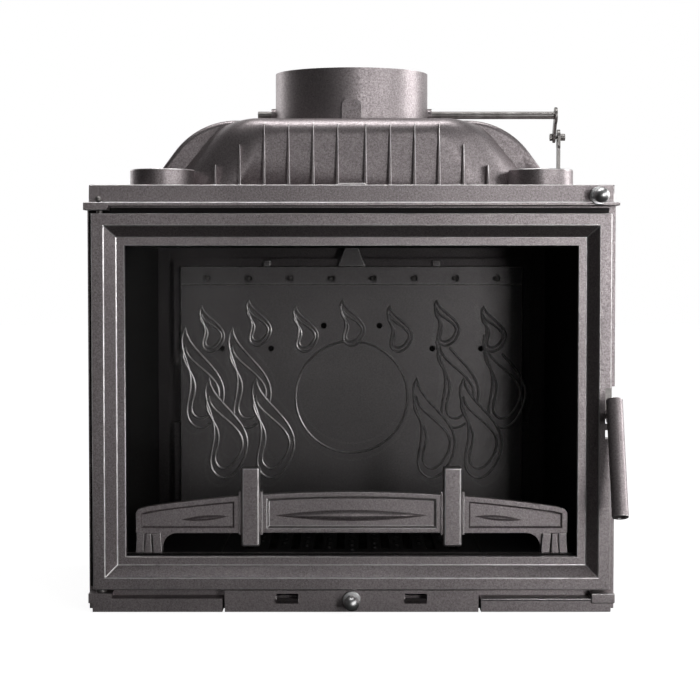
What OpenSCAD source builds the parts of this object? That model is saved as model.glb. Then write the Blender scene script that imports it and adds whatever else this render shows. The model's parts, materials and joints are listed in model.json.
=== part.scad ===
// Cast-iron fireplace insert with a framed glass door, a flue damper worked by
// a pull rod, a sliding air gate, and a lift-out log guard, grate and ash pan.
// Millimetres. X runs to the right, Y to the back, Z up. The origin is the
// middle of the base's underside, straight below the flue.

/* [Body] */
// Width of the top plate
body_w = 685; // [675:1:700]
// Depth from the front frame's face to the back wall's face
body_d = 376; // [370:1:400]
// Height of the front frame, up to the underside of the top plate
body_h = 532; // [528:1:550]
// Thickness of the front frame
frame_t = 10; // [8:0.5:12]
// Thickness of the cast side and back walls
wall_t = 12; // [9:0.5:14]
// Distance from the top plate's side edge to the clear room inside the walls
room_side = 30.5; // [29:0.5:34]
// How much further in each side wall stands at the back
room_taper = 14; // [8:0.5:18]
// Height of the base casting
base_h = 64; // [60:1:68]
// Thickness of the base casting's floor
floor_t = 8; // [6:0.5:8]
// Thickness of the hearth plates and the grate
hearth_t = 9; // [7:0.5:11]

/* [Top] */
// Thickness of the top plate
top_t = 8; // [6:0.5:10]
// Height of the band that stands along the plate's front edge
band_h = 23; // [20:0.5:28]
// Thickness of that band
band_t = 8; // [6:0.5:10]
// How far the band stands in front of the front frame
band_reach = 24; // [20:0.5:26]
// Thickness of the lip below the band
lip_t = 4.4; // [3:0.1:5]
// How far the lip passes the band in front
lip_reach = 10; // [8:0.5:12]
// How far the lip passes the body on each side
lip_side = 6; // [4:0.5:8]
// How far the front frame passes the top plate on each side
frame_side = 5; // [2:0.5:5.5]
// Diameter of the port caps
cap_d = 86.4; // [82:0.2:88]
// Distance of each port from the top plate's side edge
port_side = 88.5; // [82:0.5:90]
// Distance of each port behind the front frame's face
port_back = 56; // [52:0.5:58]
// Height of the port caps' tops above the plate
cap_h = 42.7; // [38:0.1:48]

/* [Smoke dome] */
// Height of the dome above the top plate
dome_h = 113; // [108:0.5:118]
// Distance from the plate's side edge to the dome's foot
dome_side = 80.5; // [76:0.5:84]
// How much further in the bulge in front starts on each side
bulge_side = 31; // [29:0.5:34]
// Wall of the dome
dome_wall = 7; // [5:0.5:9]
// Slope of the flanks from the level
flank_angle = 51; // [49:0.5:53]
// Number of ribs on each side of the centre plane
rib_n = 6; // [2:1:6]
// Distance from the bulge's side to its outermost rib
rib_side = 48.8; // [46:0.1:56]
// Thickness of the ribs
rib_t = 4; // [3:0.1:6]

/* [Flue] */
// Inside diameter of the socket that takes the flue pipe
flue_bore = 201.5; // [196:0.5:202]
// Wall of the flue collar around the socket
collar_wall = 6; // [4:0.5:7]
// Height of the flue collar
collar_h = 69.5; // [62:0.5:80]
// Depth of the socket above the damper's throat
socket_h = 46; // [38:0.5:48]
// Width of the step that the flue pipe stands on
throat_step = 4.75; // [3:0.25:6]
// Gap around the closed damper disc
damper_gap = 4; // [3:0.25:8]
// Thickness of the damper disc
damper_t = 5; // [3:0.5:6]
// Diameter of the damper shaft
shaft_d = 10.6; // [9:0.2:12]
// Distance from the shaft to the crank pin
crank_r = 38; // [36:0.5:40]

/* [Door] */
// How far the door stays inside the top plate's side edges
door_side = 4; // [3:0.5:5]
// Gap between the door and the top plate
door_top_gap = 10; // [9:0.5:12]
// Height of the door's lower edge above the base's underside
door_z = 30; // [29:0.5:32]
// Thickness of the door frame
door_t = 30; // [28:0.5:32]
// Gap between the closed door and the front frame
door_gap = 4; // [4:0.25:5]
// Width of the door's flat outer border
border_w = 16; // [15:0.5:17]
// Width and depth of the 45 degree bevel inside the border
bevel_w = 14.5; // [13:0.5:16]
// Width of the flat band inside the bevel
inner_band_w = 11.5; // [10:0.5:13]
// Thickness of the glass
glass_t = 4; // [3:0.5:5]
// Diameter of the hinge pins and the latch's pivot pin
pin_d = 8; // [6:0.5:8]

/* [Handle] */
// Diameter of the handle
grip_d = 21.4; // [18:0.2:22]
// Length of the handle
grip_len = 157; // [140:1:170]
// Lean of the handle from upright, lower end forward
grip_lean = 23; // [20:0.5:26]
// Thickness of the latch lever
lever_t = 6; // [4:0.5:7]
// Height of the latch's pivot above the base's underside
latch_z = 258; // [250:1:270]

/* [Controls] */
// Diameter of both pull rods
rod_d = 6; // [5:0.5:6.5]
// Diameter of the ball knobs
knob_d = 20; // [18:0.5:22]
// Diameter of the flanges behind the knobs
flange_d = 24; // [21:0.5:25]
// Distance of the damper knob from the plate's side edge
damper_knob_side = 21.5; // [19:0.5:26]
// Width of the air gate
gate_w = 120; // [100:1:140]

/* [Firebox fittings] */
// Thickness of the fireback
fireback_t = 12; // [9:0.5:14]
// Gap beside the fireback on each side at the back of the room
fireback_side = 43; // [40:0.5:53]
// Distance from the fireback's top edge to the top plate
fireback_below = 79; // [74:0.5:88]
// Radius of the plain medallion on the fireback
medallion_r = 85; // [75:1:90]
// Gap beside the log guard on each side of the front frame's mouth
guard_side = 13; // [10:0.5:20]
// Height of the log guard's bar in the middle
guard_bar_h = 54.5; // [50:0.5:60]
// Height of the log guard's posts above the hearth
post_top = 114; // [106:0.5:120]
// Width of the log guard's posts
post_w = 25.6; // [22:0.2:28]
// Half the number of slots across the grate
grate_half_n = 5; // [3:1:5]
// Spacing of the grate's slots
grate_pitch = 30.6; // [29:0.1:31]

/* [Hidden] */
$fn = 96;

// Overrun of every cut past the face it leaves through
cut = 1;
// Gap between pieces that slide or swing past each other
run_gap = 0.4;
// Gap between pieces that are set in place by hand
set_gap = 1;
// Radial clearance of pins and shafts in their bores
pin_clear = 0.08;
// Radial clearance of the pull rods in their guides
rod_clear = 0.1;
// Clearance of a piece that is fixed on a shaft, rod or grip
fix_gap = 0.05;

iron = "#514b49";
dark_iron = "#3a3636";
steel = "#8d8a88";
chrome = "#d9dadb";
glass_tint = "#8f9a9c";
rope_grey = "#6e6a66";

// The body's main planes
front_y = -body_d / 2;
back_y = body_d / 2;
frame_back_y = front_y + frame_t;
hearth_z = base_h + hearth_t;
top_z = body_h + top_t;
back_wall_y = back_y - wall_t;

// Clear width between the side walls, at the front and at the back
room_front_w = body_w - 2 * room_side;
room_back_w = room_front_w - 2 * room_taper;

// Half the clear width between the side walls at a depth y
function room_half(y) =
    let (share = (y - frame_back_y) / (back_y - frame_back_y))
    (room_front_w + (room_back_w - room_front_w) * share) / 2;

// Distance of each port from the centre plane
port_x = body_w / 2 - port_side;

// Widths of the base casting's solid rims, which carry the walls and the hearth
base_side_rim = 24;
base_back_rim = 38;
base_front_rim = 18;
// The ribs beside the ash pan, which carry the grate's edges
pan_rib_w = 18;
// Half the width of the grate
grate_half_w = 171.5;
// The rails that the ash pan stands on
pan_rail_w = 24;
pan_rail_h = 14;
// Ash pan
pan_wall = 2;
pan_top_gap = 6;
pan_h = base_h - floor_t - pan_rail_h - pan_top_gap;
pan_side_gap = 6;
pan_front_gap = 10;
pan_back_gap = 30;

// Mouth of the front frame, above the hearth
mouth_side = 42.5;
mouth_above = 46;
mouth_w = body_w - 2 * mouth_side;
mouth_top_z = body_h - mouth_above;

// Planes and size of the door
door_w = body_w - 2 * door_side;
door_h = body_h - door_top_gap - door_z;
door_back_y = front_y - door_gap;
door_front_y = door_back_y - door_t;
window_w = door_w - 2 * (border_w + bevel_w + inner_band_w);
window_h = door_h - 2 * (border_w + bevel_w + inner_band_w);
window_z = door_z + border_w + bevel_w + inner_band_w;
door_top_z = door_z + door_h;

// Glass bed at the door's back
glass_lap = 9;
gasket_t = 1.5;
gasket_w = 6;
bed_depth = glass_t + gasket_t;
// Rope seal in the door's back
seal_w = 10;
seal_groove = 8;
seal_inset = 13;
// Clips that hold the glass, and their screws
clip_place_share = 0.6;
clip_len = 34;
clip_w = 13;
clip_t = 2;
clip_screw_d = 4;
clip_head_d = 7;
clip_head_h = 1.4;
clip_screw_depth = 5;

// Hinge axis, set so that the door's rear corner clears the front frame
hinge_inset = 9.4;
hinge_ahead = 13;
hinge_x = -door_w / 2 + hinge_inset;
hinge_y = door_back_y - hinge_ahead;
hinge_bore_depth = 22;
hinge_shoulder_d = 14;
// Lugs that hold the hinge pins
lug_left = body_w / 2 + lip_side;
lug_w = 31;
lug_drop = 6;
lug_ahead = 12;
pin_head_h = 4;
lower_lug_out = 2.5;
lower_lug_x = body_w / 2 + lower_lug_out;
lower_lug_w = 30.5;
lower_lug_z = 12;
lower_lug_h = 12.6;
lower_lug_ahead = 31;

// Aprons and centre panel below the door
apron_reach = 28;
apron_front_y = front_y - apron_reach;
apron_h = 18;
apron_wall = 8;
apron_lip_t = 2.5;
apron_lip_reach = 2;
apron_in = 2.5;
apron_outer_x = body_w / 2 - apron_in;
panel_half_w = 166.5;
panel_slit = 3;
panel_wall = 8;
panel_top_gap = 1.5;
panel_flange_t = 3;
slot_inner_x = 70;
slot_outer_x = 99;
slot_z = 17;
slot_h = 7;
slot_lip_h = 6;
slot_lip_reach = 8;

// Notch for the latch in the right edges of the door and the front frame
notch_depth = 7.8;
notch_x = door_w / 2 - notch_depth;
notch_below = 30;
notch_z = latch_z - notch_below;
notch_h = 66.7;
frame_notch_more = 24;
// Latch, handle and keeper
latch_ahead = 15;
latch_y = door_back_y - latch_ahead;
lever_in = 4;
lever_x = door_w / 2 - lever_in;
hub_r = 10;
lever_rear = 47;
lever_top = 3;
lever_bottom = 6;
lever_arm_h = 12;
pivot_depth = 15;
pivot_head_h = 3;
pivot_head_d = 13;
stop_w = 10;
stop_h = 8;
stop_ahead = 5;
grip_out = 3.4;
grip_x = lever_x + grip_out;
grip_above = 24;
grip_top_z = latch_z + grip_above;
grip_stand = 32;
grip_top_y = door_front_y - grip_stand;
grip_hollow_d = 14;
grip_hollow_depth = 40;
keeper_w = 15;
keeper_t = 6;
keeper_len = 28;
keeper_tongue_h = 9;
keeper_rise = 34;
keeper_screw_shares = [0.3, 0.75];
keeper_screw_d = 5;
keeper_head_d = 9;
keeper_head_h = 3;

// Hole in the top plate below the dome
smoke_hole_side = 49;
smoke_hole_w = 2 * (port_x - smoke_hole_side);
smoke_hole_half = 110;
// Ports in the top plate
port_bore = 68;
port_neck_wall = 5;
cap_top_t = 6.7;
cap_skirt_gap = 12;

// Dome outline: rear part, front bulge and rounded edges
dome_front_in = 106;
dome_back_in = 38;
bulge_front_in = 46;
dome_w = body_w - 2 * dome_side;
bulge_w = dome_w - 2 * bulge_side;
dome_front_y = front_y + dome_front_in;
dome_back_y = back_y - dome_back_in;
bulge_front_y = front_y + bulge_front_in;
dome_shoulder_h = 43;
bulge_shoulder_h = 43;
dome_round_r = 64;
bulge_round_r = 46;
dome_edge_r = 14;
bulge_edge_r = 20;
dome_corner_r = 40;
bulge_corner_r = 90;
rib_first_x = 18.7;
rib_pitch = (bulge_w / 2 - rib_side - rib_first_x) / (rib_n - 1);
rib_reach = 14;
rib_round_r = 13;
rib_top_drop = 5;
rib_full_h = dome_h - rib_top_drop;
rib_fifth_drop = 38.3;
rib_sixth_drop = 66.5;
foot_tab_h = 24;

// Damper, crank and linkage
shaft_rise = 13;
throat_r = flue_bore / 2 - throat_step;
collar_r = flue_bore / 2 + collar_wall;
shaft_stub = 19.25;
dome_top_z = top_z + dome_h;
shaft_z = dome_top_z + shaft_rise;
damper_hub_d = 18;
damper_hub_len = 130;
boss_d = 18;
boss_len = 6;
shaft_left = collar_r + boss_len + shaft_stub;
collar_lug_w = 26.5;
collar_lug_h = 26;
collar_lug_reach = 6;
collar_lug_r = 8;
collar_foot_w = 24;
collar_foot_h = 3.5;
collar_foot_reach = 9;
damper_knob_x = body_w / 2 - damper_knob_side;
crank_in = 35;
crank_x = damper_knob_x - crank_in;
crank_t = 4;
crank_swing = 40;
crank_head_r = 11.5;
crank_foot_r = 8;
crank_w = 14;
crank_pin_d = 5;
crank_head_d = 10;
crank_head_len = 7;
crank_nut_w = 9;
crank_nut_t = 4;
link_apart = 2.5;
link_x = crank_x + crank_t + link_apart;
link_t = 4;
link_w = 16;
link_slot_clear = 1.2;
link_eye_r = 10;
pin_rest_y = crank_r * sin(crank_swing);
pin_rest_z = shaft_z - crank_r * cos(crank_swing);
pin_low_z = shaft_z - crank_r;

// Pull rods and knobs
rod_rise = 4.5;
damper_rod_z = top_z + rod_rise;
flange_t = 3;
knob_stand = 26;
guide_in = 103;
guide_y = front_y + guide_in;
guide_w = 16;
guide_t = 10;
guide_h = 16;
rod_tail = 8;
air_rod_z = 16;
gate_t = 4;
gate_len = 58;
gate_in = 70;
gate_front_y = front_y + gate_in;
gate_lift = 0.2;
gate_tab_t = 6;
gate_tab_w = 14;
gate_tab_h = 8;
gate_hole_w = 90;
gate_hole_len = 35;
gate_hole_in = 28;
gate_hole_y = front_y + gate_hole_in;

// Fireback, its seat on the back wall, and its holes
rim_reach = 24;
fireback_w = room_back_w - 2 * fireback_side;
fireback_h = body_h - fireback_below - hearth_z;
fireback_y = back_wall_y - rim_reach - fireback_t;
rim_w = 16;
rim_side = 10.5;
rim_above = 12;
rim_corner_r = 14;
rim_port_h = 90;
top_strip_h = 27;
top_strip_t = 3;
nozzle_n = 8;
nozzle_side = 40.1;
nozzle_pitch = (fireback_w - 2 * nozzle_side) / (nozzle_n - 1);
nozzle_drop = 17.5;
nozzle_d = 6;
nozzle_sink_d = 13;
nozzle_sink = 4;
vent_d = 9;
vent_wide_in = 62;
vent_mid_in = 134.6;
vent_low_drop = 122;
vent_near_x = 41.5;
vent_high_drop = 88;
medallion_drop = 194.5;
relief_t = 1.6;
relief_line = 3.2;
small_flame_h = 68;
small_flame_w = 30;
tall_flame_h = 150;
tall_flame_w = 52;
flame_row_drop = 118;
flame_base_rise = 64;
flame_side = 45;
flame_edge = 30;
flame_steps = 9;
flame_fill_share = 0.72;
flame_top_n = 3;
flame_step_down = 9;
flame_pitch = (fireback_w / 2 - flame_side) / flame_top_n;
flame_bend_share = 0.55;
flame_sway_angle = 300;
hook_top_w = 20;
hook_foot_w = 42;
hook_t = 10.5;
clip_x = 121;
clip_block_w = 11;
clip_block_h = 9;
baffle_t = 12;
baffle_in = 128;
baffle_y = front_y + baffle_in;
liner_t = 10;
liner_gap = 2;

// Log guard
guard_t = 14;
guard_behind = 3;
guard_foot_h = 26;
guard_foot_w = 36;
guard_foot_toe_w = 22;
guard_rise = 22;
guard_rim_w = 7;
guard_recess = 3;
guard_ridge_h = 9;
guard_w = mouth_w - 2 * guard_side;
post_in = 152.7;
post_x = guard_w / 2 - post_in;
guard_ridge_rise = 18.2;
post_reach = 7;
post_foot = 8;
post_corner_r = 6;

// Grate
grate_slot_w = 12;
grate_slot_front = 30;
grate_slot_back = 56;
stud_d = 7;
stud_h = 3;
stud_rows = 5;
stud_pitch = 40;
stud_front = 14;

// A box between two places on each axis
module span(x, y, z) {
    translate([x[0], y[0], z[0]]) cube([x[1] - x[0], y[1] - y[0], z[1] - z[0]]);
}

// Its children, and their mirror image across the centre plane
module both_sides() {
    children();
    mirror([1, 0, 0]) children();
}

// A flat shape drawn in X and Z, as a plate from y0 to y1
module upright(y0, y1) {
    translate([0, y1, 0]) rotate([90, 0, 0]) linear_extrude(y1 - y0) children();
}

// A flat shape drawn in Y and Z, as a plate from x0 to x1
module sideways(x0, x1) {
    translate([x0, 0, 0]) rotate([90, 0, 90]) linear_extrude(x1 - x0) children();
}

// A flat shape drawn in X and Y, as a plate from z0 to z1
module level(z0, z1) {
    translate([0, 0, z0]) linear_extrude(z1 - z0) children();
}

// A round bar along X, Y or Z
module bar_x(x0, x1, d) {
    translate([x0, 0, 0]) rotate([0, 90, 0]) cylinder(h = x1 - x0, d = d);
}
module bar_y(y0, y1, d) {
    translate([0, y0, 0]) rotate([-90, 0, 0]) cylinder(h = y1 - y0, d = d);
}
module bar_z(z0, z1, d) {
    translate([0, 0, z0]) cylinder(h = z1 - z0, d = d);
}

// A rectangle with round corners, from its lower left corner
module rounded(size, r) {
    translate([r, 0]) square([size[0] - 2 * r, size[1]]);
    translate([0, r]) square([size[0], size[1] - 2 * r]);
    for (x = [r, size[0] - r], y = [r, size[1] - r]) translate([x, y]) circle(r);
}

// A rectangle centred across X
module centred(w, z0, h) {
    translate([-w / 2, z0]) square([w, h]);
}

// Base: a tray with thick rims, ribs beside the ash pan and rails below it
module plan_strip(x_in, x_out, y0, y1) {
    polygon([[room_half(y0) + x_in, y0], [room_half(y0) + x_out, y0],
        [room_half(y1) + x_out, y1], [room_half(y1) + x_in, y1]]);
}

module base_casting() {
    rim_in = wall_t - base_side_rim;
    rib_x = grate_half_w - pan_rib_w / 2;
    rail_z = floor_t + pan_rail_h;
    well_front_y = frame_back_y + base_front_rim;
    well_back_y = back_y - base_back_rim;
    color(dark_iron) difference() {
        union() {
            level(0, base_h) both_sides() plan_strip(rim_in, wall_t, frame_back_y, back_y);
            span([-rib_x, rib_x], [frame_back_y, back_y], [0, floor_t]);
            both_sides() {
                level(0, floor_t) polygon([[0, frame_back_y],
                    [room_half(frame_back_y), frame_back_y], [room_half(back_y), back_y],
                    [0, back_y]]);
                span([rib_x, rib_x + pan_rib_w], [frame_back_y, back_y], [0, base_h]);
                span([rib_x - pan_rail_w, rib_x], [well_front_y, well_back_y],
                    [floor_t, rail_z]);
            }
            span([-room_half(well_front_y), room_half(well_front_y)],
                [frame_back_y, well_front_y], [0, base_h]);
            span([-room_half(back_y), room_half(back_y)], [well_back_y, back_y], [0, base_h]);
        }
        span([-gate_hole_w / 2, gate_hole_w / 2],
            [gate_hole_y, gate_hole_y + gate_hole_len], [-cut, floor_t + cut]);
        both_sides() air_slot(frame_back_y - cut, well_front_y + cut);
        translate([0, 0, air_rod_z])
            bar_y(frame_back_y - cut, well_front_y + cut, rod_d + 2 * rod_clear);
    }
}

// One air slot below the door, cut from y0 to y1
module air_slot(y0, y1) {
    span([slot_inner_x, slot_outer_x], [y0, y1], [slot_z, slot_z + slot_h]);
}

module front_frame() {
    color(iron) difference() {
        upright(front_y, frame_back_y) difference() {
            centred(body_w + 2 * frame_side, 0, body_h);
            centred(mouth_w, hearth_z, mouth_top_z - hearth_z);
            translate([notch_x, notch_z - frame_notch_more])
                square([body_w, notch_h + frame_notch_more]);
        }
        both_sides() air_slot(front_y - cut, frame_back_y + cut);
        translate([0, 0, air_rod_z])
            bar_y(front_y - cut, frame_back_y + cut, rod_d + 2 * rod_clear);
    }
}

module left_side_wall() {
    mirror([1, 0, 0]) right_side_wall();
}

module right_side_wall() {
    color(iron) level(base_h, body_h) plan_strip(0, wall_t, frame_back_y, back_y);
}

// Back wall with the raised rim that the fireback leans on, open for air at the sides
module back_wall() {
    half = room_half(back_y);
    rim_out_w = fireback_w + 2 * rim_side;
    rim_top_z = hearth_z + fireback_h + rim_above;
    color(iron) {
        upright(back_wall_y, back_y) centred(2 * half, base_h, body_h - base_h);
        upright(fireback_y + fireback_t, back_wall_y) difference() {
            translate([-rim_out_w / 2, base_h])
                rounded([rim_out_w, rim_top_z - base_h], rim_corner_r);
            translate([-rim_out_w / 2 + rim_w, base_h + rim_w])
                square([rim_out_w - 2 * rim_w, rim_top_z - base_h - 2 * rim_w]);
            centred(rim_out_w + cut, (base_h + rim_top_z - rim_port_h) / 2, rim_port_h);
        }
    }
}

// Top plate: slab, front band, lip, port necks and the upper hinge lug
module top_plate() {
    band_y = front_y - band_reach;
    port_y = front_y + port_back;
    neck_d = port_bore + 2 * port_neck_wall;
    neck_h = cap_h - cap_top_t;
    lip_y = band_y - lip_reach;
    color(iron) difference() {
        union() {
            span([-body_w / 2, body_w / 2], [band_y, back_y], [body_h, top_z]);
            span([-body_w / 2, body_w / 2], [band_y, band_y + band_t],
                [body_h, body_h + lip_t + band_h]);
            span([-body_w / 2 - lip_side, body_w / 2 + lip_side], [lip_y, front_y],
                [body_h, body_h + lip_t]);
            span([-lug_left, -lug_left + lug_w], [lip_y, hinge_y + lug_ahead],
                [body_h - lug_drop, body_h + lip_t]);
            both_sides() translate([port_x, port_y, 0]) bar_z(body_h, top_z + neck_h, neck_d);
        }
        span([-smoke_hole_w / 2, smoke_hole_w / 2], [-smoke_hole_half, smoke_hole_half],
            [body_h - cut, top_z + cut]);
        both_sides() translate([port_x, port_y, 0])
            bar_z(body_h - cut, top_z + neck_h + cut, port_bore);
        translate([hinge_x, hinge_y, 0])
            bar_z(body_h - lug_drop - cut, top_z + cut, pin_d + 2 * fix_gap);
        translate([damper_knob_x, 0, damper_rod_z])
            bar_y(lip_y - cut, band_y + band_t + cut, rod_d + 2 * rod_clear);
    }
}

module port_cap() {
    neck_d = port_bore + 2 * port_neck_wall;
    color(iron) translate([0, front_y + port_back, top_z]) difference() {
        bar_z(cap_skirt_gap, cap_h, cap_d);
        bar_z(cap_skirt_gap - cut, cap_h - cap_top_t, neck_d + 2 * set_gap);
    }
}

module left_port_cap() {
    translate([-port_x, 0, 0]) port_cap();
}

module right_port_cap() {
    translate([port_x, 0, 0]) port_cap();
}

// Half outline of the dome in X and Z: upright side, sloping flank, round shoulder
module flank_profile(half_w, shoulder_h, h, round_r) {
    foot = [half_w, shoulder_h];
    // Centre of the circle that touches both the flank and the level top
    centre_z = h - round_r;
    centre_x = half_w
        - ((centre_z - shoulder_h) * cos(flank_angle) + round_r) / sin(flank_angle);
    touch = [centre_x + round_r * sin(flank_angle), centre_z + round_r * cos(flank_angle)];
    polygon([[0, 0], [half_w, 0], foot, touch, [centre_x, centre_z], [centre_x, h], [0, h]]);
    translate([centre_x, centre_z]) circle(round_r);
}

// Outline in Y and Z with a round edge above each end
module edge_profile(y0, y1, h, r) {
    translate([y0, 0]) square([y1 - y0, h - r]);
    translate([y0 + r, 0]) square([y1 - y0 - 2 * r, h]);
    for (y = [y0 + r, y1 - r]) translate([y, h - r]) circle(r);
}

// One part of the dome, drawn smaller by `inset` for its inside
module dome_part(w, y0, y1, shoulder_h, round_r, edge_r, corner_r, inset) {
    half = w / 2 - inset;
    h = dome_h - inset;
    foot_z = top_z;
    intersection() {
        translate([0, 0, foot_z]) upright(y0 + inset, y1 - inset) both_sides()
            flank_profile(half, shoulder_h, h, round_r - inset);
        translate([0, 0, foot_z]) sideways(-half, half)
            edge_profile(y0 + inset, y1 - inset, h, edge_r - inset);
        level(foot_z, foot_z + h) translate([-half, y0 + inset])
            rounded([2 * half, y1 - y0 - 2 * inset], corner_r - inset);
    }
}

// The two outermost ribs on each side are lower
function rib_h(i) = i < rib_n - 2 ? rib_full_h
    : dome_h - (i == rib_n - 2 ? rib_fifth_drop : rib_sixth_drop);

// One rib: a thin blade that stands in front of the bulge, round at the top
module dome_rib(i) {
    x = rib_first_x + i * rib_pitch;
    h = rib_h(i);
    rib_y = bulge_front_y - rib_reach;
    root_y = bulge_front_y + bulge_edge_r;
    translate([0, 0, top_z]) sideways(x - rib_t / 2, x + rib_t / 2) {
        translate([rib_y, 0]) square([root_y - rib_y, h - rib_round_r]);
        translate([rib_y + rib_round_r, 0]) square([root_y - rib_y - rib_round_r, h]);
        translate([rib_y + rib_round_r, h - rib_round_r]) circle(rib_round_r);
    }
}

module dome_shape(inset) {
    dome_part(dome_w, dome_front_y, dome_back_y, dome_shoulder_h, dome_round_r,
        dome_edge_r, dome_corner_r, inset);
    dome_part(bulge_w, bulge_front_y, -bulge_front_y, bulge_shoulder_h, bulge_round_r,
        bulge_edge_r, bulge_corner_r, inset);
}

module smoke_dome() {
    tab_y = bulge_front_y - rib_reach;
    color(iron) difference() {
        union() {
            dome_shape(0);
            both_sides() for (i = [0 : rib_n - 1]) dome_rib(i);
            span([-rib_first_x, rib_first_x], [tab_y, bulge_front_y + dome_wall],
                [top_z, top_z + foot_tab_h]);
        }
        translate([0, 0, -cut]) dome_shape(dome_wall);
        bar_z(top_z, dome_top_z + cut, 2 * throat_r);
    }
}

// Collar: socket for the flue pipe above the damper's throat
module flue_collar() {
    rim_z = dome_top_z + collar_h;
    socket_z = rim_z - socket_h;
    lug_y = -collar_r - collar_lug_reach;
    color(iron) difference() {
        union() {
            bar_z(dome_top_z, rim_z, 2 * collar_r);
            upright(lug_y, 0) {
                translate([-collar_lug_w / 2, dome_top_z])
                    square([collar_lug_w, collar_lug_h - collar_lug_r]);
                translate([-collar_lug_w / 2, dome_top_z])
                    rounded([collar_lug_w, collar_lug_h], collar_lug_r);
            }
            translate([0, 0, shaft_z]) bar_x(-collar_r - boss_len, collar_r + boss_len, boss_d);
            span([0, collar_r + collar_foot_reach], [-collar_foot_w / 2, collar_foot_w / 2],
                [dome_top_z, dome_top_z + collar_foot_h]);
        }
        bar_z(dome_top_z - cut, rim_z + cut, 2 * throat_r);
        bar_z(socket_z, rim_z + cut, flue_bore);
        translate([0, 0, shaft_z])
            bar_x(-collar_r - boss_len - cut, collar_r + boss_len + cut, shaft_d + 2 * pin_clear);
        span([-collar_r - boss_len, collar_r + boss_len + cut], [-boss_d, boss_d],
            [dome_top_z - boss_d, dome_top_z]);
    }
}

// Aprons and centre panel below the door
module right_apron() {
    inner_x = panel_half_w + panel_slit;
    lug_y = front_y - lower_lug_ahead;
    color(iron) {
        span([inner_x, apron_outer_x], [apron_front_y, apron_front_y + apron_wall],
            [0, apron_h]);
        span([inner_x, apron_outer_x], [apron_front_y - apron_lip_reach, front_y],
            [apron_h - apron_lip_t, apron_h]);
        for (x = [inner_x, apron_outer_x - apron_wall])
            span([x, x + apron_wall], [apron_front_y, front_y], [0, apron_h]);
        span([lower_lug_x - lower_lug_w, lower_lug_x], [lug_y, front_y],
            [lower_lug_z, lower_lug_z + lower_lug_h]);
    }
}

// The left apron's lug is bored for the lower hinge pin
module left_apron() {
    color(iron) difference() {
        mirror([1, 0, 0]) right_apron();
        translate([hinge_x, hinge_y, 0])
            bar_z(-cut, lower_lug_z + lower_lug_h + cut, pin_d + 2 * fix_gap);
    }
}

module centre_panel() {
    panel_h = door_z - panel_top_gap;
    lip_z = slot_z - slot_lip_h;
    color(iron) difference() {
        union() {
            span([-panel_half_w, panel_half_w],
                [apron_front_y, apron_front_y + panel_wall], [0, panel_h]);
            span([-panel_half_w, panel_half_w], [apron_front_y, front_y],
                [panel_h - panel_flange_t, panel_h]);
            both_sides() {
                span([panel_half_w - panel_wall, panel_half_w], [apron_front_y, front_y],
                    [0, panel_h]);
                sideways(slot_inner_x, slot_outer_x) polygon([[apron_front_y, lip_z],
                    [apron_front_y, slot_z], [apron_front_y - slot_lip_reach, slot_z]]);
            }
        }
        both_sides() air_slot(apron_front_y - cut, apron_front_y + panel_wall + cut);
        translate([0, 0, air_rod_z])
            bar_y(apron_front_y - cut, apron_front_y + panel_wall + cut, rod_d + 2 * rod_clear);
    }
}

// Hearth: two side plates and the grate between them
module right_hearth_plate() {
    y0 = frame_back_y + set_gap;
    y1 = fireback_y + fireback_t - set_gap;
    inner_x = grate_half_w + set_gap;
    color(dark_iron) level(base_h, hearth_z) polygon([[inner_x, y0],
        [room_half(y0) - set_gap, y0], [room_half(y1) - set_gap, y1], [inner_x, y1]]);
}

module left_hearth_plate() {
    mirror([1, 0, 0]) right_hearth_plate();
}

// A stud's distance behind the first one, in a V across the grate
function stud_stagger(i) = abs(i) * stud_pitch / 2;

module ash_grate() {
    y0 = frame_back_y + set_gap;
    y1 = fireback_y + fireback_t - set_gap;
    slot_y0 = y0 + grate_slot_front;
    slot_y1 = y1 - grate_slot_back;
    color(dark_iron) {
        difference() {
            span([-grate_half_w, grate_half_w], [y0, y1], [base_h, hearth_z]);
            for (i = [-grate_half_n : grate_half_n - 1]) {
                x = (i + 1 / 2) * grate_pitch - grate_slot_w / 2;
                span([x, x + grate_slot_w], [slot_y0, slot_y1],
                    [base_h - cut, hearth_z + cut]);
            }
        }
        for (i = [1 - grate_half_n : grate_half_n - 1], row = [0 : stud_rows - 1])
            translate([i * grate_pitch, y0 + stud_front + stud_stagger(i) + row * stud_pitch, 0])
                bar_z(hearth_z, hearth_z + stud_h, stud_d);
    }
}

module ash_pan() {
    half_w = grate_half_w - pan_rib_w / 2 - pan_side_gap;
    y0 = frame_back_y + base_front_rim + pan_front_gap;
    y1 = back_y - base_back_rim - pan_back_gap;
    z0 = floor_t + pan_rail_h;
    color(steel) difference() {
        span([-half_w, half_w], [y0, y1], [z0, z0 + pan_h]);
        span([-half_w + pan_wall, half_w - pan_wall], [y0 + pan_wall, y1 - pan_wall],
            [z0 + pan_wall, z0 + pan_h + cut]);
    }
}

module right_liner() {
    y0 = frame_back_y + set_gap;
    y1 = fireback_y - set_gap;
    color(dark_iron) level(hearth_z, liner_top_z())
        plan_strip(-liner_gap - liner_t, -liner_gap, y0, y1);
}

module left_liner() {
    mirror([1, 0, 0]) right_liner();
}

// The liners end just above the door's window, and carry the baffle
function liner_top_z() = window_z + window_h + set_gap;

module baffle() {
    y1 = back_wall_y - set_gap;
    half0 = room_half(baffle_y) - set_gap;
    half1 = room_half(y1) - set_gap;
    color(dark_iron) level(liner_top_z(), liner_top_z() + baffle_t)
        polygon([[-half0, baffle_y], [half0, baffle_y], [half1, y1], [-half1, y1]]);
}

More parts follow.
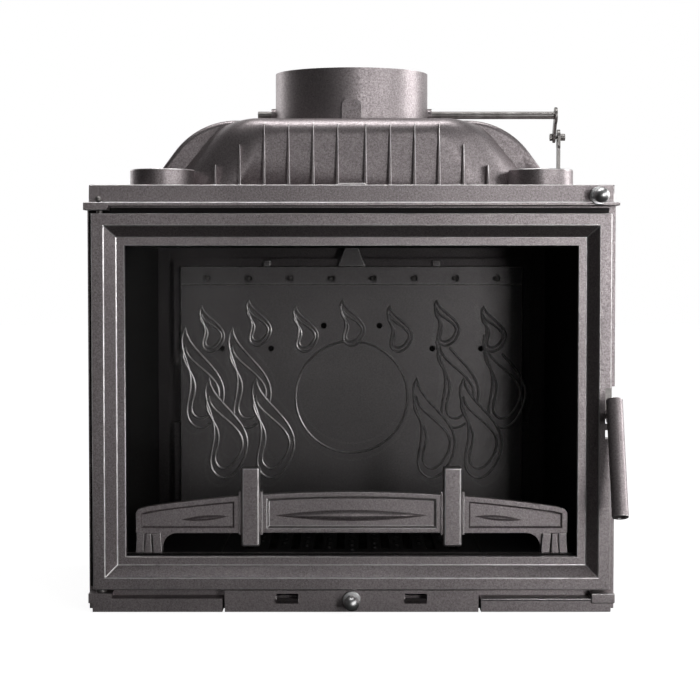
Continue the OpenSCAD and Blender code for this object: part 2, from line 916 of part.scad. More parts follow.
// Fireback: strip of nozzles, vents, plain medallion and flame relief
// Half width and sideways sway of a tongue of flame at a share t of its height
function flame_half(t, w) = w / 2 * sin(180 * pow(t, flame_bend_share));
function flame_sway(t, w) = w / 2 * sin(flame_sway_angle * t) * t;

// One tongue of flame, its foot at the origin, drawn `fill` as wide as it can be
module tongue(h, w, fill) {
    shares = [for (i = [0 : flame_steps]) i / flame_steps];
    back_shares = [for (i = [1 : flame_steps - 1]) 1 - i / flame_steps];
    low = (1 - fill) * h / 3;
    polygon(concat(
        [for (t = shares) [flame_sway(t, w) + fill * flame_half(t, w), low + fill * h * t]],
        [for (t = back_shares)
            [flame_sway(t, w) - fill * flame_half(t, w), low + fill * h * t]]));
}

// A flame drawn as a raised line around a level middle
module flame(h, w) {
    difference() {
        tongue(h, w, 1);
        tongue(h, w, flame_fill_share);
    }
}

// Flames: one row along the top, and two staggered rows on each side below
module flames() {
    row_z = hearth_z + fireback_h - flame_row_drop;
    for (i = [-flame_top_n : flame_top_n])
        translate([i * flame_pitch, row_z - abs(i % 2) * flame_step_down])
            flame(small_flame_h, small_flame_w);
    both_sides() for (i = [0 : 1], row = [0 : 1])
        translate([fireback_w / 2 - flame_edge - (i + row / 2) * flame_pitch,
            hearth_z + flame_base_rise + (1 - row) * tall_flame_h / 2])
            flame(tall_flame_h, tall_flame_w);
}

module fireback() {
    top = hearth_z + fireback_h;
    y1 = fireback_y + fireback_t;
    medallion_z = top - medallion_drop;
    nozzle_z = top - nozzle_drop;
    color(dark_iron) difference() {
        union() {
            upright(fireback_y, y1) centred(fireback_w, hearth_z, fireback_h);
            upright(fireback_y - top_strip_t, y1)
                centred(fireback_w, top - top_strip_h, top_strip_h);
            upright(fireback_y - relief_t, fireback_y + relief_t) {
                translate([0, medallion_z]) difference() {
                    circle(medallion_r);
                    circle(medallion_r - relief_line);
                }
                flames();
            }
        }
        for (i = [0 : nozzle_n - 1]) {
            x = (i - (nozzle_n - 1) / 2) * nozzle_pitch;
            translate([x, 0, nozzle_z]) {
                bar_y(fireback_y - top_strip_t - cut, y1 + cut, nozzle_d);
                bar_y(fireback_y - top_strip_t - cut, fireback_y - top_strip_t + nozzle_sink,
                    nozzle_sink_d);
            }
        }
        both_sides() {
            for (inset = [vent_wide_in, vent_mid_in])
                translate([fireback_w / 2 - inset, 0, top - vent_low_drop])
                bar_y(fireback_y - top_strip_t - cut, y1 + cut, vent_d);
            translate([vent_near_x, 0, top - vent_high_drop])
                bar_y(fireback_y - top_strip_t - cut, y1 + cut, vent_d);
        }
    }
}

// Hook over the fireback's top edge, from the rim to the baffle
module fireback_hook() {
    z0 = hearth_z + fireback_h;
    z1 = liner_top_z();
    seat_y = fireback_y + fireback_t;
    half_top = hook_top_w / 2;
    half_foot = hook_foot_w / 2;
    color(dark_iron) {
        upright(seat_y - hook_t, seat_y)
            polygon([[-half_foot, z0], [half_foot, z0], [half_top, z1], [-half_top, z1]]);
        span([-half_top, half_top], [seat_y - hook_t, back_wall_y], [z0 + rim_above, z1]);
    }
}

module fireback_clips() {
    z0 = hearth_z + fireback_h;
    seat_y = fireback_y + fireback_t;
    color(dark_iron) both_sides()
        span([clip_x, clip_x + clip_block_w], [seat_y - hook_t, seat_y],
            [z0, z0 + clip_block_h]);
}

// Log guard: bar with sunk panels, two posts and two feet
module guard_outline(inset) {
    bar_z0 = hearth_z + guard_foot_h;
    arc_r = (guard_w * guard_w / 4 + guard_rise * guard_rise) / (2 * guard_rise);
    intersection() {
        centred(guard_w - 2 * inset, bar_z0 + inset, guard_bar_h - inset);
        translate([0, bar_z0 + guard_bar_h - arc_r]) circle(arc_r - inset, $fn = 360);
    }
}

module log_guard() {
    y0 = frame_back_y + guard_behind;
    y1 = y0 + guard_t;
    bar_z0 = hearth_z + guard_foot_h;
    ridge_z = bar_z0 + guard_ridge_rise;
    color(iron) {
        difference() {
            upright(y0, y1) guard_outline(0);
            upright(y0 - cut, y0 + guard_recess) difference() {
                guard_outline(guard_rim_w);
                both_sides() translate([post_x - post_w / 2 - guard_rim_w, 0])
                    square([post_w + 2 * guard_rim_w, bar_z0 + guard_bar_h]);
            }
        }
        upright(y0, y1) both_sides() polygon([[guard_w / 2 - guard_foot_w, bar_z0],
            [guard_w / 2, bar_z0], [guard_w / 2, hearth_z],
            [guard_w / 2 - guard_foot_toe_w, hearth_z]]);
        both_sides() upright(y0 - post_reach, y1)
            translate([post_x - post_w / 2, hearth_z + post_foot])
                rounded([post_w, post_top - post_foot], post_corner_r);
        for (x = [-1, 0, 1]) translate([x * (guard_w / 2 + post_x) / 2, 0, ridge_z])
            guard_ridge(x == 0 ? post_x : (guard_w / 2 - post_x) / 3);
    }
}

// A long lens-shaped ridge in a sunk panel: the meeting of two round discs
module guard_ridge(half_len) {
    y0 = frame_back_y + guard_behind;
    len = half_len - post_w;
    r = (len * len + guard_ridge_h * guard_ridge_h / 4) / guard_ridge_h;
    upright(y0, y0 + guard_recess) intersection() {
        translate([0, guard_ridge_h / 2 - r]) circle(r, $fn = 180);
        translate([0, r - guard_ridge_h / 2]) circle(r, $fn = 180);
    }
}

// Hinge pins, fixed in the lugs
module upper_hinge_pin() {
    color(steel) translate([hinge_x, hinge_y, 0])
        bar_z(door_top_z - hinge_bore_depth + set_gap, body_h + lip_t + pin_head_h, pin_d);
}

module lower_hinge_pin() {
    lug_top_z = lower_lug_z + lower_lug_h;
    color(steel) translate([hinge_x, hinge_y, 0]) {
        bar_z(0, door_z + hinge_bore_depth - set_gap, pin_d);
        bar_z(lug_top_z, door_z - run_gap, hinge_shoulder_d);
    }
}

// Keeper on the front frame's rear face: the lever wedges below its tongue
module latch_keeper() {
    x0 = lever_x + lever_t / 2 - keeper_w / 2;
    tongue_z = latch_z + lever_top + run_gap;
    flange_z = notch_z + notch_h;
    color(steel) difference() {
        union() {
            span([x0, x0 + keeper_w], [frame_back_y, frame_back_y + keeper_t],
                [tongue_z, flange_z + keeper_rise]);
            span([x0, x0 + keeper_w], [frame_back_y, frame_back_y + keeper_len],
                [tongue_z, tongue_z + keeper_tongue_h]);
        }
        keeper_screw_places() bar_y(frame_back_y - cut, frame_back_y + keeper_t + cut,
            keeper_screw_d + 2 * fix_gap);
    }
}

module keeper_screw_places() {
    flange_z = notch_z + notch_h;
    for (share = keeper_screw_shares)
        translate([lever_x + lever_t / 2, 0, flange_z + share * keeper_rise]) children();
}

module keeper_screws() {
    head_y = frame_back_y + keeper_t;
    color(steel) keeper_screw_places() {
        bar_y(frame_back_y, head_y, keeper_screw_d);
        bar_y(head_y, head_y + keeper_head_h, keeper_head_d);
    }
}

module damper_rod_guide() {
    color(steel) difference() {
        span([damper_knob_x - guide_w / 2, damper_knob_x + guide_w / 2],
            [guide_y, guide_y + guide_t], [top_z, top_z + guide_h]);
        translate([damper_knob_x, 0, damper_rod_z])
            bar_y(guide_y - cut, guide_y + guide_t + cut, rod_d + 2 * rod_clear);
    }
}

// Door frame: flat border, 45 degree bevel, flat band, glass bed and seal groove
module door_frame() {
    bed_w = window_w + 2 * glass_lap;
    bed_h = window_h + 2 * glass_lap;
    bed_z = window_z - glass_lap;
    color(iron) difference() {
        union() {
            difference() {
                upright(door_front_y, door_back_y) centred(door_w, door_z, door_h);
                bevel_recess();
                upright(door_front_y - cut, door_back_y + cut)
                    centred(window_w, window_z, window_h);
                upright(door_back_y - bed_depth, door_back_y + cut)
                    centred(bed_w, bed_z, bed_h);
                upright(door_back_y - seal_groove, door_back_y + cut) seal_ring(0);
                upright(door_front_y - cut, door_back_y + cut)
                    translate([notch_x, notch_z]) square([door_w, notch_h]);
            }
            latch_stop();
        }
        for (z = [door_z - cut, door_top_z - hinge_bore_depth]) translate([hinge_x, hinge_y, 0])
            bar_z(z, z + hinge_bore_depth + cut, pin_d + 2 * pin_clear);
        translate([0, latch_y, latch_z]) bar_x(notch_x - pivot_depth, notch_x + cut,
            pin_d + 2 * fix_gap);
        clip_screw_places() bar_y(door_back_y - clip_screw_depth, door_back_y + cut,
            clip_screw_d + 2 * fix_gap);
    }
}

// The sunk middle of the door's face, whose four sides slope inwards
module bevel_recess() {
    outer_x = door_w / 2 - border_w;
    outer_z0 = door_z + border_w;
    outer_z1 = door_top_z - border_w;
    y0 = door_front_y;
    y1 = door_front_y + bevel_w;
    intersection() {
        level(door_z, door_top_z) polygon([[-outer_x - cut, y0 - cut], [outer_x + cut, y0 - cut],
            [outer_x - bevel_w, y1], [bevel_w - outer_x, y1]]);
        sideways(-door_w / 2, door_w / 2) polygon([[y0 - cut, outer_z0 - cut],
            [y0 - cut, outer_z1 + cut], [y1, outer_z1 - bevel_w], [y1, outer_z0 + bevel_w]]);
    }
}

// The rope seal's ring, drawn narrower by `slack` on each side
module seal_ring(slack) {
    w = door_w - 2 * seal_inset - 2 * slack;
    h = door_h - 2 * seal_inset - 2 * slack;
    inner_w = w - 2 * seal_w + 4 * slack;
    inner_h = h - 2 * seal_w + 4 * slack;
    difference() {
        centred(w, door_z + seal_inset + slack, h);
        centred(inner_w, door_z + (door_h - inner_h) / 2, inner_h);
    }
}

module door_rope_seal() {
    color(rope_grey) upright(door_back_y - seal_groove, front_y - run_gap) seal_ring(fix_gap);
}

// Lug at the door's edge that the lever rests on
module latch_stop() {
    stop_z = latch_z - hub_r - run_gap;
    y1 = latch_y - stop_ahead;
    span([notch_x, lever_x + lever_t], [y1 - stop_w, y1], [stop_z - stop_h, stop_z]);
}

module door_glass() {
    gap = set_gap / 2;
    color(glass_tint) upright(door_back_y - glass_t, door_back_y)
        centred(window_w + 2 * glass_lap - 2 * gap, window_z - glass_lap + gap,
            window_h + 2 * glass_lap - 2 * gap);
}

module glass_gasket() {
    gap = set_gap / 2;
    color(rope_grey) upright(door_back_y - bed_depth, door_back_y - glass_t) difference() {
        centred(window_w + 2 * glass_lap - 2 * gap, window_z - glass_lap + gap,
            window_h + 2 * glass_lap - 2 * gap);
        centred(window_w + 2 * (glass_lap - gasket_w), window_z - glass_lap + gasket_w,
            window_h + 2 * (glass_lap - gasket_w));
    }
}

// Where the glass clips sit: two along each edge
module clip_places() {
    w = window_w / 2 + glass_lap;
    mid_z = window_z + window_h / 2;
    for (side = [-1, 1], share = [-clip_place_share, clip_place_share]) {
        translate([side * w, 0, mid_z + share * window_h / 2]) rotate([0, side * 90, 0])
            children();
        translate([share * window_w / 2, 0, mid_z + side * (window_h / 2 + glass_lap)])
            rotate([0, side > 0 ? 0 : 180, 0]) children();
    }
}

module clip_screw_places() {
    clip_places() translate([0, 0, clip_screw_d]) children();
}

module glass_clips() {
    screw_out = clip_screw_d + clip_head_d / 2 + fix_gap;
    color(steel) difference() {
        clip_places() span([-clip_len / 2, clip_len / 2], [door_back_y, door_back_y + clip_t],
            [screw_out - clip_w, screw_out]);
        clip_screw_places() bar_y(door_back_y - cut, door_back_y + clip_t + cut,
            clip_screw_d + 2 * fix_gap);
    }
}

module clip_screws() {
    head_y = door_back_y + clip_t;
    color(steel) clip_screw_places() {
        bar_y(door_back_y - clip_screw_depth, head_y, clip_screw_d);
        bar_y(head_y, head_y + clip_head_h, clip_head_d);
    }
}

// Latch: pivot pin in the door's edge, flat lever, round handle
module latch_pivot_pin() {
    x1 = lever_x + lever_t + run_gap;
    color(steel) translate([0, latch_y, latch_z]) {
        bar_x(notch_x - pivot_depth, x1 + pivot_head_h, pin_d);
        bar_x(x1, x1 + pivot_head_h, pivot_head_d);
    }
}

// Places its children along the handle's axis, upper end at the origin
module along_grip() {
    translate([grip_x, grip_top_y, grip_top_z]) rotate([180 - grip_lean, 0, 0])
        children();
}

module latch_lever() {
    arm_y = grip_top_y - (grip_top_z - latch_z) * tan(grip_lean);
    color(iron) difference() {
        sideways(lever_x, lever_x + lever_t) {
            translate([latch_y, latch_z]) circle(hub_r);
            translate([latch_y, latch_z - lever_bottom])
                square([lever_rear, lever_bottom + lever_top]);
            translate([arm_y, latch_z - lever_arm_h / 2]) square([latch_y - arm_y, lever_arm_h]);
        }
        translate([0, latch_y, latch_z]) bar_x(lever_x - cut, lever_x + lever_t + cut,
            pin_d + 2 * pin_clear);
        along_grip() bar_z(-cut, grip_len + cut, grip_d + 2 * fix_gap);
    }
}

module handle_grip() {
    color(iron) along_grip() difference() {
        bar_z(0, grip_len, grip_d);
        bar_z(grip_len - grip_hollow_depth, grip_len + cut, grip_hollow_d);
    }
}

// Damper: disc on its shaft, crank with its pin at the right-hand end
module damper_disc() {
    color(dark_iron) difference() {
        union() {
            bar_z(shaft_z - damper_t / 2, shaft_z + damper_t / 2, 2 * (throat_r - damper_gap));
            translate([0, 0, shaft_z])
                bar_x(-damper_hub_len / 2, damper_hub_len / 2, damper_hub_d);
        }
        translate([0, 0, shaft_z]) bar_x(-throat_r, throat_r, shaft_d + 2 * fix_gap);
    }
}

module damper_shaft() {
    color(steel) translate([0, 0, shaft_z]) bar_x(-shaft_left, crank_x + crank_t, shaft_d);
}

// Outline of the crank in Y and Z: two round ends and a web
module damper_crank() {
    color(steel) difference() {
        sideways(crank_x, crank_x + crank_t) translate([0, shaft_z]) rotate(crank_swing) {
            circle(crank_head_r);
            translate([0, -crank_r]) circle(crank_foot_r);
            translate([-crank_w / 2, -crank_r]) square([crank_w, crank_r]);
        }
        translate([0, 0, shaft_z])
            bar_x(crank_x - cut, crank_x + crank_t + cut, shaft_d + 2 * fix_gap);
        translate([0, pin_rest_y, pin_rest_z])
            bar_x(crank_x - cut, crank_x + crank_t + cut, crank_pin_d + 2 * fix_gap);
    }
}

module crank_pin() {
    head_x = link_x + link_t + run_gap;
    color(steel) translate([0, pin_rest_y, pin_rest_z]) {
        bar_x(crank_x - crank_nut_t, head_x, crank_pin_d);
        bar_x(head_x, head_x + crank_head_len, crank_head_d);
    }
}

module crank_nut() {
    nut_r = crank_nut_w / sqrt(3);
    color(steel) translate([0, pin_rest_y, pin_rest_z]) difference() {
        translate([crank_x - crank_nut_t, 0, 0]) rotate([0, 90, 0])
            cylinder(h = crank_nut_t, r = nut_r, $fn = 6);
        bar_x(crank_x - crank_nut_t - cut, crank_x + cut, crank_pin_d + 2 * fix_gap);
    }
}

// Slotted link: the crank pin rides in its slot, its foot sits on the pull rod
module damper_link() {
    slot_half = crank_pin_d / 2 + link_slot_clear;
    slot_low = pin_low_z - set_gap;
    slot_high = pin_rest_z + set_gap;
    foot_z0 = damper_rod_z - rod_d / 2;
    foot_z1 = damper_rod_z + rod_d / 2 + link_t;
    color(steel) difference() {
        union() {
            sideways(link_x, link_x + link_t) {
                for (z = [slot_low, slot_high]) translate([pin_rest_y, z]) circle(link_eye_r);
                translate([pin_rest_y - link_eye_r, slot_low])
                    square([2 * link_eye_r, slot_high - slot_low]);
                translate([pin_rest_y - link_w / 2, foot_z0]) square([link_w, slot_low - foot_z0]);
            }
            span([link_x, damper_knob_x + rod_tail],
                [pin_rest_y - link_w / 2, pin_rest_y + link_w / 2], [foot_z0, foot_z1]);
        }
        sideways(link_x - cut, link_x + link_t + cut) {
            for (z = [slot_low, slot_high]) translate([pin_rest_y, z]) circle(slot_half);
            translate([pin_rest_y - slot_half, slot_low])
                square([2 * slot_half, slot_high - slot_low]);
        }
        translate([damper_knob_x, 0, damper_rod_z])
            bar_y(pin_rest_y - link_w, pin_rest_y + link_w, rod_d + 2 * fix_gap);
    }
}

module damper_rod() {
    y0 = front_y - band_reach - lip_reach - flange_t - knob_stand;
    color(steel) translate([damper_knob_x, 0, damper_rod_z])
        bar_y(y0, pin_rest_y + link_w / 2, rod_d);
}

// Knob: a ball on the rod's end, with a flange behind it
module ball_knob(x, y, z) {
    color(chrome) difference() {
        translate([x, y, z]) sphere(d = knob_d);
        translate([x, 0, z]) bar_y(y, y + knob_d, rod_d + 2 * fix_gap);
    }
}

module knob_flange(x, y, z) {
    color(chrome) translate([x, 0, z]) difference() {
        bar_y(y, y + flange_t, flange_d);
        bar_y(y - cut, y + flange_t + cut, rod_d + 2 * fix_gap);
    }
}

module damper_knob() {
    ball_knob(damper_knob_x, front_y - band_reach - lip_reach - flange_t - knob_stand,
        damper_rod_z);
}

module damper_knob_flange() {
    knob_flange(damper_knob_x, front_y - band_reach - lip_reach - flange_t - run_gap,
        damper_rod_z);
}

// Air control: gate over the inlet in the base's floor, worked by a pull rod
module air_rod() {
    color(steel) translate([0, 0, air_rod_z])
        bar_y(apron_front_y - flange_t - knob_stand, gate_front_y + gate_tab_t, rod_d);
}

module air_gate() {
    z0 = floor_t + gate_lift;
    color(steel) difference() {
        union() {
            span([-gate_w / 2, gate_w / 2], [gate_front_y, gate_front_y + gate_len],
                [z0, z0 + gate_t]);
            span([-gate_tab_w / 2, gate_tab_w / 2], [gate_front_y, gate_front_y + gate_tab_t],
                [z0, z0 + gate_t + gate_tab_h]);
        }
        translate([0, 0, air_rod_z]) bar_y(gate_front_y - cut,
            gate_front_y + gate_tab_t + cut, rod_d + 2 * fix_gap);
    }
}

module air_knob() {
    ball_knob(0, apron_front_y - flange_t - knob_stand, air_rod_z);
}

module air_knob_flange() {
    knob_flange(0, apron_front_y - flange_t - run_gap, air_rod_z);
}

base_casting();
front_frame();
left_side_wall();
right_side_wall();
back_wall();
top_plate();
smoke_dome();
flue_collar();
left_port_cap();
right_port_cap();
left_apron();
right_apron();
centre_panel();
left_hearth_plate();
right_hearth_plate();
ash_grate();
ash_pan();
left_liner();
right_liner();
fireback();
fireback_hook();
fireback_clips();
baffle();
log_guard();
upper_hinge_pin();
lower_hinge_pin();
latch_keeper();
keeper_screws();
damper_rod_guide();
door_frame();
door_glass();
glass_gasket();
glass_clips();
clip_screws();
door_rope_seal();
latch_pivot_pin();
latch_lever();
handle_grip();
damper_disc();
damper_shaft();
damper_crank();
crank_pin();
crank_nut();
damper_rod();
damper_link();
damper_knob();
damper_knob_flange();
air_rod();
air_gate();
air_knob();
air_knob_flange();
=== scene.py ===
# %% [markdown]
# A cast-iron fireplace insert, dressed for its portrait.
# The part arrives as a frame of plain solids, in metres: X to the right, Y to the back, Z up.
# On the real object every edge is rounded by the foundry and the paint, so most pieces are
# rebuilt here as softened copies of their solids, and a few are modelled new.

import json
import math

import bmesh
import bpy
from mathutils import Matrix, Vector

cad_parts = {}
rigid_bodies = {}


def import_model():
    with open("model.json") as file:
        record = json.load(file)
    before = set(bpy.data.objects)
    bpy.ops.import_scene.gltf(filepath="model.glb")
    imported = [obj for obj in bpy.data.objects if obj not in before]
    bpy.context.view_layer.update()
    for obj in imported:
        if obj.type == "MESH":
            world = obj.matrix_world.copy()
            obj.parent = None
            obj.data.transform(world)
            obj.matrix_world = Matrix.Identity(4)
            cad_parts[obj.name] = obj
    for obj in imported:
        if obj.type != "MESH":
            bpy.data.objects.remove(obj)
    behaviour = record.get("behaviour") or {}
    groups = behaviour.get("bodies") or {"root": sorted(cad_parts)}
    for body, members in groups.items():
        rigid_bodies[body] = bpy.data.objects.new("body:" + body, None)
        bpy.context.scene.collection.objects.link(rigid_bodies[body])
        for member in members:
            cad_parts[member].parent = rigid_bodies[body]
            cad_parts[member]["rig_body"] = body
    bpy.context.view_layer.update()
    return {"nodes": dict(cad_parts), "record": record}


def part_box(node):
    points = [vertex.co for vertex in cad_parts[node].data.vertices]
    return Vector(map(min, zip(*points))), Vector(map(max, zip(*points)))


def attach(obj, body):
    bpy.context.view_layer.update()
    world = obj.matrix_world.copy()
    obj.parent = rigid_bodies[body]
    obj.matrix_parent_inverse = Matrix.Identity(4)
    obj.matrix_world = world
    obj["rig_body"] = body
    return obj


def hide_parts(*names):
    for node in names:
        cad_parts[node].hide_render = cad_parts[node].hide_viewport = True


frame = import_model()
nodes = frame["nodes"]
scene = bpy.context.scene
MM = 0.001


def box_mm(node):
    """The lowest and highest corners of a solid, in millimetres."""
    return [Vector([round(v / MM, 3) for v in corner]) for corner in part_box(node)]


def placed(name, data):
    """A new object for some data, linked to the scene."""
    made = bpy.data.objects.new(name, data)
    scene.collection.objects.link(made)
    return made


def as_object(name, mesh):
    """A new object from a bmesh, which is freed."""
    data = bpy.data.meshes.new(name)
    mesh.to_mesh(data)
    mesh.free()
    return placed(name, data)


# %% [markdown]
# The camera stands 2.47 m in front of the door with a long lens, as high as the top of the
# window, and looks down by two and a half degrees. A small shift, in pixels, frames it.

# %% Camera
PICTURE = 700
LENS = 97.7
SENSOR = 36.0
CAMERA_PLACE = (0.0, -2.692, 0.452)
LOOKS_DOWN = 2.5
SHIFT_X = -1.6
SHIFT_Y = 0.2
camera_data = bpy.data.cameras.new("portrait_camera")
camera = placed("portrait_camera", camera_data)
camera_data.lens = LENS
camera_data.sensor_width = SENSOR
camera.location = CAMERA_PLACE
camera.rotation_euler = (math.radians(90.0 - LOOKS_DOWN), 0.0, 0.0)
camera_data.shift_x = SHIFT_X / PICTURE
camera_data.shift_y = SHIFT_Y / PICTURE
scene.camera = camera
print("lens", camera_data.lens, "mm")

# %% [markdown]
# A node tree is a graph of small steps. The steps that come back everywhere below get a
# helper, so that a formula in nodes reads like a formula.


# %% Node helpers
def added(tree, kind, **values):
    """A node with values on its inputs. In their names an underscore stands for a space."""
    node = tree.nodes.new("ShaderNode" + kind)
    for label, value in values.items():
        node.inputs[label.replace("_", " ")].default_value = value
    return node


def ranged(tree, value, low, high, to_low=0.0, to_high=1.0):
    """A value mapped from one range to another and held inside it."""
    limits = {"From_Min": low, "From_Max": high, "To_Min": to_low, "To_Max": to_high}
    mapped = added(tree, "MapRange", **limits)
    tree.links.new(value, mapped.inputs["Value"])
    return mapped.outputs["Result"]


def maths(tree, kind, a, b):
    """Two values, or a value and a number, put together."""
    node = added(tree, "Math")
    node.operation = kind
    for socket, value in zip(node.inputs, (a, b)):
        if isinstance(value, (int, float)):
            socket.default_value = value
        else:
            tree.links.new(value, socket)
    return node.outputs[0]


def axes_of(tree, place):
    """The three parts of a place: outputs X, Y and Z."""
    parts = added(tree, "SeparateXYZ")
    tree.links.new(place, parts.inputs["Vector"])
    return parts.outputs


print("helpers ready")

# %% [markdown]
# The room is a plain studio: white behind the insert, and darker on the camera's side. The
# camera sees white everywhere, also straight through the glass. Metal sees it only behind the
# insert, so that the flat faces mirror the lamps and not a white wall. The Light Path node
# tells what kind of ray asks.

# %% World
AMBIENT = 0.03
SKY_NEAR = 0.5
SKY_FAR = 1.0
FIRST_MIRROR = 0.5


def seen_white(tree, place, near, far):
    """A value of 1 where a ray should see white. Metal sees it from near to far along Y."""
    ray = added(tree, "LightPath").outputs
    behind = ranged(tree, axes_of(tree, place)["Y"], near, far)
    unmirrored = maths(tree, "LESS_THAN", ray["Glossy Depth"], FIRST_MIRROR)
    through_glass = ray["Is Transmission Ray"]
    mirrored_ray = maths(tree, "MAXIMUM", ray["Is Glossy Ray"], through_glass)
    in_metal = maths(tree, "MULTIPLY", mirrored_ray, behind)
    in_glass = maths(tree, "MULTIPLY", through_glass, unmirrored)
    seen = maths(tree, "MAXIMUM", ray["Is Camera Ray"], in_glass)
    return maths(tree, "MAXIMUM", seen, in_metal)


scene.view_settings.view_transform = "Standard"
world = bpy.data.worlds.new("white_studio")
scene.world = world
world.use_nodes = True
sky = world.node_tree
sky_place = added(sky, "TexCoord").outputs["Generated"]
white_sky = seen_white(sky, sky_place, SKY_NEAR, SKY_FAR)
background = sky.nodes["Background"]
background.inputs["Color"].default_value = (1.0, 1.0, 1.0, 1.0)
sky.links.new(ranged(sky, white_sky, 0.0, 1.0, AMBIENT, 1.0), background.inputs["Strength"])
print("ambient light", AMBIENT)

# %% [markdown]
# The floor is one large square. Close to the insert it takes a trace of shadow, and further
# away a glow lifts it to pure white, like the sky. To diffuse light it is nearly black, because
# a white floor would light the insert from below.

# %% Floor
FLOOR_SIZE = 12.0
SHADE_NEAR = 0.8
SHADE_FAR = 1.9
GLOW_NEAR = 0.9
SEEN_GREY = 0.5
UNSEEN_GREY = 0.05
FLOOR_NEAR = 0.3
FLOOR_FAR = 0.9
floor_mesh = bmesh.new()
bmesh.ops.create_grid(floor_mesh, x_segments=1, y_segments=1, size=FLOOR_SIZE)
floor = as_object("studio_floor", floor_mesh)

floor_paint = bpy.data.materials.new("studio_floor")
floor_paint.use_nodes = True
floor_tree = floor_paint.node_tree
floor_tree.nodes.clear()


def matt_shader(grey):
    """A matt shader in a grey."""
    return added(floor_tree, "BsdfDiffuse", Color=(grey, grey, grey, 1.0)).outputs[0]


floor_place = added(floor_tree, "TexCoord").outputs["Object"]
from_insert = added(floor_tree, "VectorMath")
from_insert.operation = "LENGTH"
floor_tree.links.new(floor_place, from_insert.inputs[0])
away = from_insert.outputs["Value"]
glow = added(floor_tree, "Emission")
floor_tree.links.new(
    ranged(floor_tree, away, SHADE_NEAR, SHADE_FAR, GLOW_NEAR, 1.0), glow.inputs["Strength"]
)
lifted = added(floor_tree, "AddShader")
floor_tree.links.new(matt_shader(SEEN_GREY), lifted.inputs[0])
floor_tree.links.new(glow.outputs[0], lifted.inputs[1])
choice = added(floor_tree, "MixShader")
white_floor = seen_white(floor_tree, floor_place, FLOOR_NEAR, FLOOR_FAR)
floor_tree.links.new(white_floor, choice.inputs["Fac"])
floor_tree.links.new(matt_shader(UNSEEN_GREY), choice.inputs[1])
floor_tree.links.new(lifted.outputs[0], choice.inputs[2])
floor_out = added(floor_tree, "OutputMaterial")
floor_tree.links.new(choice.outputs[0], floor_out.inputs["Surface"])
floor.data.materials.append(floor_paint)
print("floor", 2 * FLOOR_SIZE, "m wide")

# %% [markdown]
# The paint is nearly all metal flake, so what it mirrors shapes it. The main soft box stands a
# little to the right of the camera, which makes the flat faces grow lighter to the right and
# leaves the slopes of the door's frame dark. A narrow beam from the left only reaches the left
# side of the door. Three lamps at the right draw the edges, the collar and the ribs, one hangs
# above the dome, and a weak one at the back lights the sides that the portrait doesn't show.

# %% Lamps
MIDDLE = (0.0, -0.15, 0.4)
DOME_MIDDLE = (0.0, -0.15, 0.6)
LEFT_EDGE = (-0.38, -0.22, 0.4)


def soft_box(name, place, width, height, watts, aim=MIDDLE, spread=180.0):
    """A rectangular lamp at a place, turned towards an aim, with a spread in degrees."""
    lamp_data = bpy.data.lights.new(name, "AREA")
    lamp_data.shape = "RECTANGLE"
    lamp_data.size = width
    lamp_data.size_y = height
    lamp_data.energy = watts
    lamp_data.spread = math.radians(spread)
    lamp = placed(name, lamp_data)
    lamp.location = place
    lamp.rotation_euler = (Vector(aim) - Vector(place)).to_track_quat("-Z", "Y").to_euler()


# Name, place, width and height in metres, watts, and an aim and a spread where they differ
LAMPS = (
    ("main_front", (0.8, -2.3, 0.5), 0.3, 1.0, 9.6),
    ("left_front", (-0.6, -2.45, 0.5), 0.6, 1.0, 0.055, LEFT_EDGE, 24.0),
    ("right_front", (1.5, -1.6, 0.7), 0.5, 1.0, 5.0),
    ("near_right", (1.8, -1.0, 1.0), 0.8, 1.2, 4.4),
    ("side_right", (2.0, 0.3, 0.9), 0.8, 1.2, 17.0),
    ("dome_top", (0.0, -0.15, 1.7), 1.2, 0.3, 9.0, DOME_MIDDLE),
    ("back_left", (-1.7, 1.6, 1.0), 0.8, 1.0, 5.0),
)
for lamp in LAMPS:
    soft_box(*lamp)
print("lamps:", [lamp[0] for lamp in LAMPS])

# %% [markdown]
# Effects that several finishes share are node groups. The first is the skin of a sand
# casting under paint: a fine grain, a few bright flecks, and soft patches where the paint is
# thinner. It gives masks and a height, and each finish mixes them.


# %% Group: casting skin
def new_group(name, inputs, outputs):
    """An empty node group with named float inputs and outputs."""
    group = bpy.data.node_groups.new(name, "ShaderNodeTree")
    for label, value in inputs.items():
        made = group.interface.new_socket(label, in_out="INPUT", socket_type="NodeSocketFloat")
        made.default_value = value
    for label in outputs:
        group.interface.new_socket(label, in_out="OUTPUT", socket_type="NodeSocketFloat")
    return group, group.nodes.new("NodeGroupInput"), group.nodes.new("NodeGroupOutput")


def object_place(tree):
    """The place on the insert, the same for every piece, in metres."""
    return added(tree, "TexCoord").outputs["Object"]


def noise(tree, vector, scale, detail, rough):
    """The value of a noise texture read at a vector."""
    texture = added(tree, "TexNoise", Scale=scale, Detail=detail, Roughness=rough)
    tree.links.new(vector, texture.inputs["Vector"])
    return texture.outputs["Fac"]


